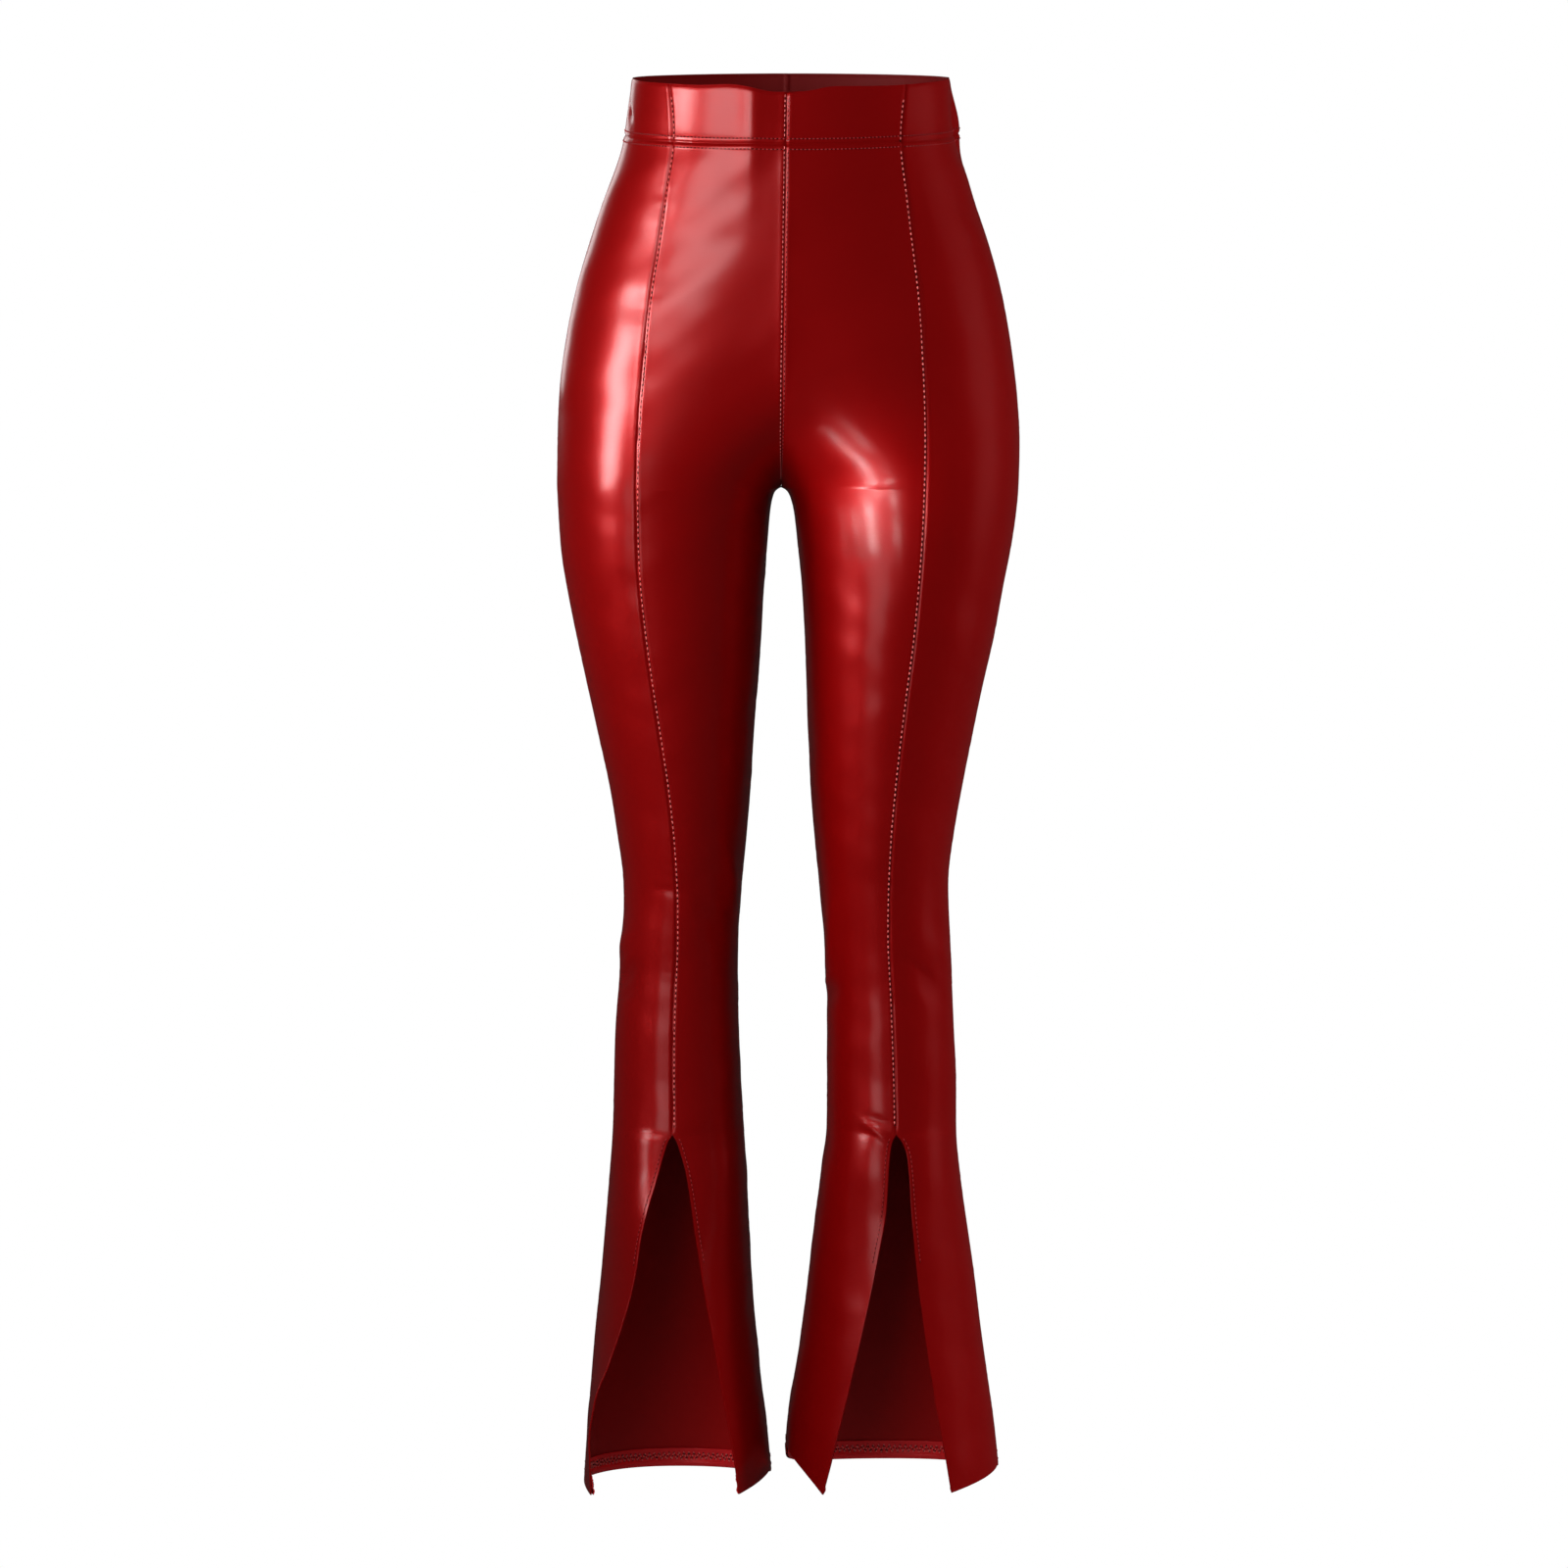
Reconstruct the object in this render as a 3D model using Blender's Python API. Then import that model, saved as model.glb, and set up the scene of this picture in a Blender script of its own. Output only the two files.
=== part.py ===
"""Faux leather bootcut trousers with a slit up the front of each flare, filled out as if worn.

Metres, +Z up. The origin is the centre of the waistband, where the wearer's waist holds it. The
front faces -Y and the wearer's left leg is at +X. Heights and widths in the tables are millimetres:
heights are from the origin, widths from the centre seam, outwards on either leg.

Each leg is a row of rings. Its angles run from 0 at the inner leg over 90 at the front and 180 at
the side to 270 at the back. Above the crotch the two legs' rings run together and are cut where
they meet, at the centre seams. Below the top of the slit the front is two flaps, bent to an arc.
"""
import math
from enum import Enum
from functools import lru_cache
from typing import NamedTuple

import bmesh
import bpy
from mathutils import Vector

MM = 0.001

CLOTH = 1.2             # wall of the coated cloth
BAND_CLOTH = 2.0        # wall of the doubled waistband
SEAM_GAP = 0.3          # between the pieces that a seam joins
HEM_TURNING = 14.0      # cloth turned up inside each hem
HEM_CLOTH = 1.0         # wall of that turning
HEM_LOFT = 0.5          # between the turning and the panel, whose facets twist at the hem
HEM_END = 2.0           # the turning stops this far inside a panel's side edges

WAIST_SEAM = -22.0      # height of the seam under the waistband, at the sides
WAIST_SEAM_FRONT = -34.0
WAIST_SEAM_BACK = -13.0
WAIST_TILT_END = -150.0  # from here down the levels no longer follow the tilt of the waist
BAND_HEIGHT = 42.0
CROTCH = -284.5
CENTRE_LEAN = -4.4      # the centre seams' X at the crotch, where the legs' stance draws them
ARCH = 4.5              # how much wider than the rings the gap between the legs opens at its top
ARCH_ROUNDING = 2.0
ARCH_FADE = 40.0
ARCH_FOCUS = 4          # how closely that keeps to the inner leg seam
SLIT_TOP = -765.0
FLAP_WIDTH = 90.0       # from the side or inner leg seam to the slit
FLAP_BLEND = 110.0      # under the top of the slit, where a ring turns into two arcs
HEM_LEVEL = -1032.0
HEM_DROP = 2.0          # how late a flap's lower edge falls towards its slit corner
BACK_DROP = 0.45        # how soon the back's falls from its sides

SLOPE_STEP = 0.4        # half the height over which the slope of the surface is taken
SLOPE_SHARE = 0.0045    # the same across a panel, as a share of its width
CENTRE_SPAN = (0.0, 100.0)       # angles between which a ring meets the centre seam
PRINCESS_SPAN = (20.0, 160.0)    # angles between which it meets the princess seam
FLAP_TURN_SPAN = (0.001, 2.2)    # least and greatest turn of a flap, in radians
TURN_STEPS = 24         # halvings in a search between such angles
CENTRE_CALM = 26.0      # folds fade out this near to the centre seams

SHARP_ANGLE = 40.0      # degrees from which an edge is shaded sharp
GLOSS_ROUGHNESS = 0.34
PANEL_COLOUR = (0.23, 0.006, 0.008)
BAND_COLOUR = (0.25, 0.008, 0.01)
TURNING_COLOUR = (0.15, 0.004, 0.006)


class Level(NamedTuple):
    """One ring of a leg: where it ends towards the centre and outwards, and its front seam."""
    height: float
    inner: float
    outer: float
    princess: float


class Profile(NamedTuple):
    """Depth of both legs' rings in front of and behind their middle at one height."""
    height: float
    front: float
    back: float
    squareness: float


class Bridge(NamedTuple):
    """Share of the hollow between the two legs' rings that the cloth bridges at one height."""
    height: float
    front: float
    back: float


class Slit(NamedTuple):
    """How far out the edges of the inner and the outer flap lie at one height."""
    height: float
    inner_flap: float
    outer_flap: float


class Hem(NamedTuple):
    """Heights of a leg's lower edge."""
    inner_side: float
    slit: float
    outer_side: float
    back: float


class Fold(NamedTuple):
    """A soft ridge, or a trough where its depth is below zero, on a ring of the given radius."""
    angle: float
    height: float
    slope: float
    length: float
    width: float
    depth: float
    radius: float


class Run(NamedTuple):
    """A stretch of the panels' height and the number of steps across it."""
    top: float
    bottom: float
    steps: int


RIGHT_LEVELS = (
    Level(40, -114, 114, 90), Level(19, -115.5, 115.5, 87.5), Level(-5, -118.7, 118.7, 84.5),
    Level(-30, -121.8, 121.8, 82.5), Level(-46, -126.7, 126.7, 84.5), Level(-67, -134.5, 134.5, 87.5),
    Level(-104, -146.5, 146.5, 92), Level(-140, -122.8, 156.3, 97.4), Level(-177, -91.7, 163.1, 100.7),
    Level(-213, -65, 167.1, 103.5), Level(-250, -27.4, 168.1, 105.4), Level(-265, -12.6, 168.1, 105.7),
    Level(-277, -3.6, 168, 105.8), Level(CROTCH, 0.16, 167.9, 105.8), Level(-301, 5.2, 167.2, 105.8),
    Level(-331, 9.4, 165.3, 105.3), Level(-360, 12.4, 160.8, 103.6),
    Level(-397, 14.8, 153.6, 99.6), Level(-434, 17.8, 145.6, 94.6), Level(-471, 20.7, 137.6, 89),
    Level(-508, 23, 129.5, 83.8), Level(-545, 26, 123.7, 80.1), Level(-583, 29.7, 118.9, 78),
    Level(-601, 31.2, 118.7, 77.7), Level(-620, 32.5, 120.2, 77.8), Level(-657, 32.9, 122.6, 79.5),
    Level(-695, 32, 125.5, 80.8), Level(-732, 30.6, 126.6, 80.9), Level(-770, 28.3, 127.6, 80.8),
    Level(-808, 26.1, 130.5, 80.8), Level(-883, 22.5, 137, 80.8), Level(-921, 19.5, 141.1, 80.8),
    Level(-959, 15.8, 144.4, 80.8), Level(-997, 11.3, 147.5, 80.8), Level(-1050, 6, 151.2, 80.8),
)
LEFT_LEVELS = (
    Level(40, -120, 120, 90), Level(19, -121.3, 121.3, 88), Level(-5, -122.4, 122.4, 85.5),
    Level(-30, -126, 126, 83.7), Level(-46, -133, 133, 85.5), Level(-67, -139.4, 139.4, 88.7),
    Level(-104, -152.6, 152.6, 93.6), Level(-140, -128, 162.8, 98.8), Level(-177, -95.7, 170.2, 102),
    Level(-213, -68.2, 175.3, 104.5), Level(-250, -29, 178.3, 106), Level(-265, -13.4, 178.4, 106.2),
    Level(-277, -3.8, 178.2, 106.2), Level(CROTCH, 0.16, 178.1, 106), Level(-301, 6.6, 176.7, 105.5),
    Level(-331, 11.8, 172.4, 104), Level(-360, 15.2, 166.6, 101.8),
    Level(-397, 17.7, 160.1, 98.4), Level(-434, 19.2, 151.6, 93.6), Level(-471, 20.7, 144.1, 89.3),
    Level(-508, 22.2, 136.9, 85.5), Level(-545, 25.1, 130.4, 82.6), Level(-583, 28.9, 126.1, 80.9),
    Level(-601, 30.4, 126.5, 80.6), Level(-620, 32.4, 127.6, 80.7), Level(-657, 34.1, 129.2, 82.6),
    Level(-695, 34.9, 130.8, 84.2), Level(-732, 35, 132.7, 85.4), Level(-770, 34.6, 132.7, 85.9),
    Level(-808, 29.8, 136.3, 85.9), Level(-883, 20.8, 147, 85.9), Level(-921, 16.4, 151.6, 85.9),
    Level(-959, 10.4, 157, 85.9), Level(-997, 4.6, 162.4, 85.9), Level(-1050, 1.6, 168, 85.9),
)
PROFILES = (
    Profile(40, 89, 97, 2.1), Profile(0, 93, 98, 2.1), Profile(-67, 100, 107, 2.15),
    Profile(-140, 105, 124, 2.2), Profile(-177, 106.3, 129, 2.2), Profile(-213, 106.3, 129.5, 2.2),
    Profile(-250, 104.8, 124, 2.2), Profile(CROTCH, 102, 114, 2.15), Profile(-331, 97.6, 103, 2.1),
    Profile(-397, 91, 91, 2.1), Profile(-471, 81.5, 76, 2.05), Profile(-545, 71, 62, 2),
    Profile(-600, 64, 56, 2), Profile(-657, 60, 58, 2), Profile(-700, 60, 61, 2),
    Profile(-732, 61, 64, 2), Profile(SLIT_TOP, 63.5, 66.5, 2), Profile(-800, 67, 69, 2),
    Profile(-845, 70, 72, 2.05), Profile(-1050, 80, 80, 2.1),
)
BRIDGES = (
    Bridge(-120, 1, 1), Bridge(-177, 0.96, 0.92), Bridge(-213, 0.86, 0.8), Bridge(-250, 0.5, 0.45),
    Bridge(-265, 0.3, 0.25), Bridge(-277, 0.1, 0.08), Bridge(CROTCH, 0, 0),
)
RIGHT_SLIT = (
    Slit(SLIT_TOP, 80.8, 80.8), Slit(-770, 77.9, 84.2), Slit(-779, 74.9, 87.3), Slit(-794, 70.7, 91.6),
    Slit(-838, 63.5, 104.2), Slit(-868, 58.4, 109.2), Slit(-897, 53.3, 116), Slit(-934, 46.8, 129),
    Slit(-964, 41.7, 139.6), Slit(-994, 36.6, 143.6), Slit(-1050, 28, 141.5),
)
LEFT_SLIT = (
    Slit(SLIT_TOP, 85.9, 85.9), Slit(-769, 83.2, 89.6), Slit(-783, 80.7, 94.6), Slit(-823, 78.2, 97.8),
    Slit(-860, 71.5, 101.2), Slit(-905, 62.1, 106.7), Slit(-942, 53.4, 112), Slit(-979, 44.6, 118.4),
    Slit(-1050, 26.5, 131),
)
RIGHT_HEM = Hem(inner_side=-1030, slit=-1033, outer_side=-1037, back=-1049)
LEFT_HEM = Hem(inner_side=-1013, slit=-1034, outer_side=-1028, back=-1043)

RIGHT_FOLDS = (
    Fold(angle=32, height=-582, slope=68, length=34, width=10, depth=2.4, radius=52),
    Fold(angle=62, height=-600, slope=60, length=30, width=9, depth=-1.8, radius=52),
    Fold(angle=150, height=-650, slope=-28, length=16, width=8, depth=-2.2, radius=50),
    Fold(angle=163, height=-628, slope=-20, length=20, width=9, depth=1.8, radius=50),
    Fold(angle=262, height=-566, slope=8, length=34, width=10, depth=-2.4, radius=52),
    Fold(angle=276, height=-596, slope=-6, length=40, width=10, depth=2.6, radius=50),
    Fold(angle=268, height=-628, slope=10, length=36, width=10, depth=-2.6, radius=50),
    Fold(angle=284, height=-306, slope=-24, length=42, width=12, depth=-2.6, radius=88),
    Fold(angle=243, height=-334, slope=14, length=38, width=12, depth=2, radius=88),
)
LEFT_FOLDS = (
    Fold(angle=24, height=-622, slope=72, length=30, width=10, depth=2.4, radius=52),
    Fold(angle=20, height=-664, slope=20, length=18, width=8, depth=-2, radius=50),
    Fold(angle=128, height=-656, slope=-36, length=18, width=9, depth=-2, radius=50),
    Fold(angle=146, height=-634, slope=-30, length=22, width=9, depth=1.6, radius=50),
    Fold(angle=280, height=-560, slope=-10, length=32, width=10, depth=-2.2, radius=52),
    Fold(angle=264, height=-590, slope=8, length=40, width=10, depth=2.4, radius=50),
    Fold(angle=274, height=-620, slope=-8, length=38, width=10, depth=-2.6, radius=50),
    Fold(angle=282, height=-312, slope=-20, length=40, width=12, depth=-2.4, radius=88),
    Fold(angle=240, height=-342, slope=16, length=36, width=12, depth=2.2, radius=88),
    Fold(angle=185.6, height=-14, slope=90, length=24, width=6, depth=6.2, radius=118),
)
TOP_WAVE = (            # distance across the waist, and lift of its front edge there
    (-122, 0), (-88, 0.5), (-66, 0.2), (-42, 1.4), (-8, -4), (14, -3.4), (34, 0), (75, -0.6), (122, 0.4),
)

LEVEL_RUNS = (
    Run(WAIST_SEAM, -240, 8), Run(-240, -274, 3), Run(-274, CROTCH, 3), Run(CROTCH, -295, 4),
    Run(-295, -335, 3), Run(-335, -540, 6), Run(-540, -680, 10), Run(-680, SLIT_TOP, 3),
    Run(SLIT_TOP, -790, 4), Run(-790, HEM_LEVEL, 8),
)
BAND_STEPS = 3
HEM_STEPS = 1


class Region(Enum):
    """A stretch round a leg that one panel covers, with its columns and its seams' order."""
    FRONT = ("front", 8, 1)
    FRONT_SIDE = ("front_side", 8, -1)
    BACK = ("back", 13, 1)

    def __init__(self, label: str, columns: int, facing: int):
        self.label = label
        self.columns = columns
        self.facing = facing


def ease(share: float) -> float:
    """Rise smoothly from 0 to 1 as share does."""
    share = min(max(share, 0.0), 1.0)
    return share * share * (3 - 2 * share)


def mix(first: float, last: float, share: float) -> float:
    """Value at a share of the way from first to last."""
    return first + (last - first) * share


class Curve:
    """A smooth line through pairs of place and value, which keeps between its neighbours."""

    def __init__(self, pairs):
        self.places, self.values = zip(*sorted(pairs))
        steps = list(zip(self.places, self.places[1:], self.values, self.values[1:]))
        rises = [(v1 - v0) / (p1 - p0) for p0, p1, v0, v1 in steps]
        inner = [2 * a * b / (a + b) if a * b > 0 else 0.0 for a, b in zip(rises, rises[1:])]
        self.slopes = [rises[0], *inner, rises[-1]]

    def at(self, place: float) -> float:
        """Value at a place, on the end's own slope past either end."""
        places, values, slopes = self.places, self.values, self.slopes
        if place <= places[0]:
            return values[0] + slopes[0] * (place - places[0])
        if place >= places[-1]:
            return values[-1] + slopes[-1] * (place - places[-1])
        i = next(n for n in range(len(places) - 1) if place <= places[n + 1])
        span = places[i + 1] - places[i]
        s = (place - places[i]) / span
        bend = slopes[i] * s * (1 - s) ** 2 - slopes[i + 1] * s ** 2 * (1 - s)
        return mix(values[i], values[i + 1], ease(s)) + bend * span


def search(measure, low: float, high: float, target: float) -> float:
    """Find where a rising measure reaches the target, between low and high."""
    for _ in range(TURN_STEPS):
        middle = (low + high) / 2
        if measure(middle) < target:
            low = middle
        else:
            high = middle
    return (low + high) / 2


def lean(height: float) -> float:
    """X of the centre seams at a height."""
    return CENTRE_LEAN * min(max(height / CROTCH, 0.0), 1.0)


class Leg:
    """The surface of one half of the trousers, from which every piece of it is worked out."""

    def __init__(self, name: str, sign: int, levels, slit, hem: Hem, folds):
        self.name = name
        self.sign = sign
        self.inner = Curve([(row.height, row.inner) for row in levels])
        self.outer = Curve([(row.height, row.outer) for row in levels])
        self.princess = Curve([(row.height, row.princess) for row in levels])
        self.inner_flap = Curve([(row.height, row.inner_flap) for row in slit])
        self.outer_flap = Curve([(row.height, row.outer_flap) for row in slit])
        self.front = Curve([(row.height, row.front) for row in PROFILES])
        self.back = Curve([(row.height, row.back) for row in PROFILES])
        self.squareness = Curve([(row.height, row.squareness) for row in PROFILES])
        self.front_bridge = Curve([(row.height, row.front) for row in BRIDGES])
        self.back_bridge = Curve([(row.height, row.back) for row in BRIDGES])
        self.hem = hem
        self.folds = folds

    def ring(self, angle: float, height: float) -> Vector:
        """Point of the whole ring, before it is cut or folded, with X counted outwards."""
        inner, outer = self.inner.at(height), self.outer.at(height)
        turn = math.radians(angle)
        cosine, sine = math.cos(turn), math.sin(turn)
        power = self.squareness.at(height)
        swell = (abs(cosine) ** power + abs(sine) ** power) ** (-1 / power)
        half = (outer - inner) / 2
        at_front = sine >= 0
        depth = -self.front.at(height) if at_front else self.back.at(height)
        bridge = (self.front_bridge if at_front else self.back_bridge).at(height)
        reach = abs(sine) * swell
        across = (inner + outer) / 2 - half * cosine * swell
        if cosine > 0:
            reach = 1 - (1 - min(max(bridge, 0.0), 1.0)) * (1 - reach)
            across += self.arch(height) * cosine ** ARCH_FOCUS
        return Vector((across, depth * reach, height))

    def arch(self, height: float) -> float:
        """How far the round top of the gap between the legs stands back from the rings."""
        below = max(CROTCH - height, 0.0)
        return ARCH * (1 - math.exp(-below / ARCH_ROUNDING)) * math.exp(-below / ARCH_FADE)

    @lru_cache(maxsize=None)
    def centre_angle(self, height: float) -> float:
        """Angle at which the ring meets the centre seam, or 0 below the crotch."""
        if self.inner.at(height) >= SEAM_GAP / 2:
            return 0.0
        return search(lambda angle: self.ring(angle, height).x, *CENTRE_SPAN, SEAM_GAP / 2)

    @lru_cache(maxsize=None)
    def princess_angle(self, height: float) -> float:
        """Angle of the seam down the middle of the leg's front."""
        across = self.princess.at(height)
        return search(lambda angle: self.ring(angle, height).x, *PRINCESS_SPAN, across)

    def flap(self, share: float, inset: float) -> tuple[float, float]:
        """Distances inwards and forwards at a share of a flap, whose edge lies that far inset."""
        turn = search(lambda angle: (1 - math.cos(angle)) / angle, *FLAP_TURN_SPAN, inset / FLAP_WIDTH)
        radius = FLAP_WIDTH / turn
        return radius * (1 - math.cos(turn * share)), radius * math.sin(turn * share)

    def base(self, region: Region, share: float, height: float) -> tuple[Vector, float]:
        """Unfolded point at a share of the way across a region, and its angle."""
        centre = self.centre_angle(height)
        if region is Region.BACK:
            angle = mix(180, 360 - centre, share)
            return self.ring(angle, height), angle
        princess = self.princess_angle(max(height, SLIT_TOP))
        start = centre if region is Region.FRONT else 180.0
        angle = mix(start, princess, share)
        point = self.ring(angle, height)
        if height < SLIT_TOP:
            opening = ease((SLIT_TOP - height) / FLAP_BLEND)
            if region is Region.FRONT:
                seam, edge = self.inner.at(height), self.inner_flap.at(height)
            else:
                seam, edge = self.outer.at(height), self.outer_flap.at(height)
            inwards, forwards = self.flap(share, abs(edge - seam))
            shut = 1 - math.cos(math.pi / 2 * share)
            across = mix(shut, inwards / abs(edge - seam), opening)
            depth = mix(self.front.at(height) * math.sin(math.pi / 2 * share), forwards, opening)
            point = Vector((mix(seam, edge, across), -depth, height))
        return point, angle

    def fold_depth(self, angle: float, height: float) -> float:
        """How far the folds move the cloth outwards."""
        total = 0.0
        for fold in self.folds:
            turn = (angle - fold.angle + 180) % 360 - 180
            around = math.radians(turn) * fold.radius
            above = height - fold.height
            slope = math.radians(fold.slope)
            along = around * math.cos(slope) + above * math.sin(slope)
            across = above * math.cos(slope) - around * math.sin(slope)
            total += fold.depth * math.exp(-(along / fold.length) ** 2 - (across / fold.width) ** 2)
        return total

    def placed(self, region: Region, share: float, height: float) -> Vector:
        """Unfolded point with its X on the side that the leg is on."""
        point = self.base(region, share, height)[0]
        return Vector((self.sign * point.x + lean(height), point.y, height))

    def surface(self, region: Region, share: float, height: float, inwards: float) -> Vector:
        """Point of the cloth's outer face, moved inwards by a distance, in millimetres."""
        span, rise = SLOPE_SHARE, SLOPE_STEP
        sideways = self.placed(region, share + span, height) - self.placed(region, share - span, height)
        upwards = self.placed(region, share, height + rise) - self.placed(region, share, height - rise)
        normal = sideways.cross(upwards).normalized() * self.sign * region.facing
        point, angle = self.base(region, share, height)
        fold = self.fold_depth(angle, height) * ease(point.x / CENTRE_CALM)
        return self.placed(region, share, height) + normal * (fold - inwards)

    def seam_share(self, region: Region, height: float) -> float:
        """Share of a region's width that half a seam's gap takes."""
        width = (self.placed(region, 1, height) - self.placed(region, 0.5, height)).length * 2
        return SEAM_GAP / 2 / width

    def waist_seam(self, region: Region, share: float) -> float:
        """Height of the seam under the waistband."""
        if region is Region.BACK:
            return mix(WAIST_SEAM, WAIST_SEAM_BACK, math.sin(math.pi / 2 * share))
        round_front = share / 2 if region is Region.FRONT_SIDE else 1 - share / 2
        return mix(WAIST_SEAM, WAIST_SEAM_FRONT, math.sin(math.pi / 2 * round_front))

    def top_edge(self, region: Region, share: float) -> float:
        """Height of the waistband's upper edge, which waves a little at the front."""
        height = self.waist_seam(region, share) + BAND_HEIGHT
        if region is Region.BACK:
            return height
        return height + TOP_CURVE.at(self.placed(region, share, height).x)

    def hem_edge(self, region: Region, share: float) -> float:
        """Height of the leg's lower edge."""
        if region is Region.FRONT:
            return mix(self.hem.inner_side, self.hem.slit, share ** HEM_DROP)
        if region is Region.FRONT_SIDE:
            return mix(self.hem.outer_side, self.hem.slit, share ** HEM_DROP)
        side = mix(self.hem.outer_side, self.hem.inner_side, share)
        return mix(side, self.hem.back, math.sin(math.pi * share) ** BACK_DROP)

    def panel_height(self, region: Region, share: float, level: float) -> float:
        """Height of a level, which follows the waist at the top and the hem at the bottom."""
        waist = self.waist_seam(region, share) - SEAM_GAP / 2 - WAIST_SEAM
        hem = self.hem_edge(region, share) - HEM_LEVEL
        from_waist = ease((level - WAIST_TILT_END) / (WAIST_SEAM - WAIST_TILT_END))
        to_hem = ease((SLIT_TOP - level) / (SLIT_TOP - HEM_LEVEL))
        return level + waist * from_waist + hem * to_hem


def levels() -> list[float]:
    """Heights of the panels' rows, from the waist seam down."""
    heights = [LEVEL_RUNS[0].top]
    for run in LEVEL_RUNS:
        heights += [mix(run.top, run.bottom, (i + 1) / run.steps) for i in range(run.steps)]
    return heights


TOP_CURVE = Curve(TOP_WAVE)
LEVELS = levels()


def wall(name: str, colour: tuple, columns: int, rows: int, place) -> bpy.types.Object:
    """Make a closed wall from a slab, whose points place() puts by column, row and depth."""
    slab = bmesh.new()
    bmesh.ops.create_grid(slab, x_segments=columns, y_segments=rows, size=0.5)
    bmesh.ops.solidify(slab, geom=slab.faces[:], thickness=1)
    middle = sum(vert.co.z for vert in slab.verts) / len(slab.verts)
    for vert in slab.verts:
        depth = 0.0 if vert.co.z > middle else 1.0
        vert.co = place(vert.co.x + 0.5, vert.co.y + 0.5, depth) * MM
    if slab.calc_volume(signed=True) < 0:
        bmesh.ops.reverse_faces(slab, faces=slab.faces[:])
    mesh = bpy.data.meshes.new(name)
    slab.to_mesh(mesh)
    slab.free()
    mesh.shade_smooth()
    mesh.set_sharp_from_angle(angle=math.radians(SHARP_ANGLE))
    mesh.materials.append(coated_cloth(name, colour))
    piece = bpy.data.objects.new(name, mesh)
    bpy.context.collection.objects.link(piece)
    return piece


def coated_cloth(name: str, colour: tuple) -> bpy.types.Material:
    """Red cloth with a glossy coating."""
    material = bpy.data.materials.new(name)
    material.use_nodes = True
    shader = material.node_tree.nodes["Principled BSDF"]
    shader.inputs["Base Color"].default_value = (*colour, 1)
    shader.inputs["Roughness"].default_value = GLOSS_ROUGHNESS
    shader.inputs["Metallic"].default_value = 0.0
    return material


def panel_point(leg: Leg, region: Region, column: float, row: int, depth: float) -> Vector:
    """Point of a panel at a share of its width, in a row counted from the waist seam."""
    level = LEVELS[row]
    gap = leg.seam_share(region, level)
    share = mix(gap, 1 - gap, column)
    return leg.surface(region, share, leg.panel_height(region, share, level), depth)


def make_panel(leg: Leg, region: Region) -> bpy.types.Object:
    """Make one panel of a leg, from the waist seam to the hem."""
    last = len(LEVELS) - 1

    def place(column: float, row: float, depth: float) -> Vector:
        return panel_point(leg, region, column, round((1 - row) * last), CLOTH * depth)

    return wall(f"{region.label}_{leg.name}", PANEL_COLOUR, region.columns, last, place)


def make_band(leg: Leg, region: Region) -> bpy.types.Object:
    """Make the piece of the waistband above a panel."""

    def place(column: float, row: float, depth: float) -> Vector:
        gap = leg.seam_share(region, WAIST_SEAM)
        share = mix(gap, 1 - gap, column)
        bottom = leg.waist_seam(region, share) + SEAM_GAP / 2
        return leg.surface(region, share, mix(bottom, leg.top_edge(region, share), row), BAND_CLOTH * depth)

    return wall(f"band_{region.label}_{leg.name}", BAND_COLOUR, region.columns, BAND_STEPS, place)


def make_turning(leg: Leg, region: Region) -> bpy.types.Object:
    """Make the cloth that is turned up inside a panel's hem, on the panel's own lowest facets."""
    last = len(LEVELS) - 1
    rise = HEM_TURNING / (LEVELS[-2] - LEVELS[-1])
    width = (leg.placed(region, 1, HEM_LEVEL) - leg.placed(region, 0.5, HEM_LEVEL)).length * 2
    end = HEM_END / width

    def place(column: float, row: float, depth: float) -> Vector:
        inside = CLOTH + HEM_LOFT + HEM_CLOTH * depth
        corners = []
        for at_row in (last, last - 1):
            edge = panel_point(leg, region, column, at_row, inside)
            if min(column, 1 - column) < end:
                inner = column + (0.5 - column) * 2 / region.columns
                reach = end * region.columns
                edge = edge.lerp(panel_point(leg, region, inner, at_row, inside), reach)
            corners.append(edge)
        return corners[0].lerp(corners[1], rise * row)

    return wall(f"hem_{region.label}_{leg.name}", TURNING_COLOUR, region.columns, HEM_STEPS, place)


def main() -> None:
    """Build both halves of the trousers in an emptied scene."""
    for old in list(bpy.data.objects):
        bpy.data.objects.remove(old)
    legs = (
        Leg("right", -1, RIGHT_LEVELS, RIGHT_SLIT, RIGHT_HEM, RIGHT_FOLDS),
        Leg("left", 1, LEFT_LEVELS, LEFT_SLIT, LEFT_HEM, LEFT_FOLDS),
    )
    for leg in legs:
        for region in Region:
            make_panel(leg, region)
            make_band(leg, region)
            make_turning(leg, region)


main()
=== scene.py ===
"""Faux leather bootcut trousers with slit flares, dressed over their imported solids.

Each half of the garment is one smooth surface, worked out from tables of its rings. The panels, the
waistband's pieces and the turned hems are stretches of that surface, and every stitch lies on it.
Tables are in millimetres: heights from the centre of the waistband, widths outwards from the centre
seam. A ring's angle is 0 at the inner leg, 90 in front, 180 at the side and 270 behind.
"""
import logging
import math
from collections.abc import Callable
from dataclasses import dataclass, field, replace
from enum import Enum
from typing import NamedTuple

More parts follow.
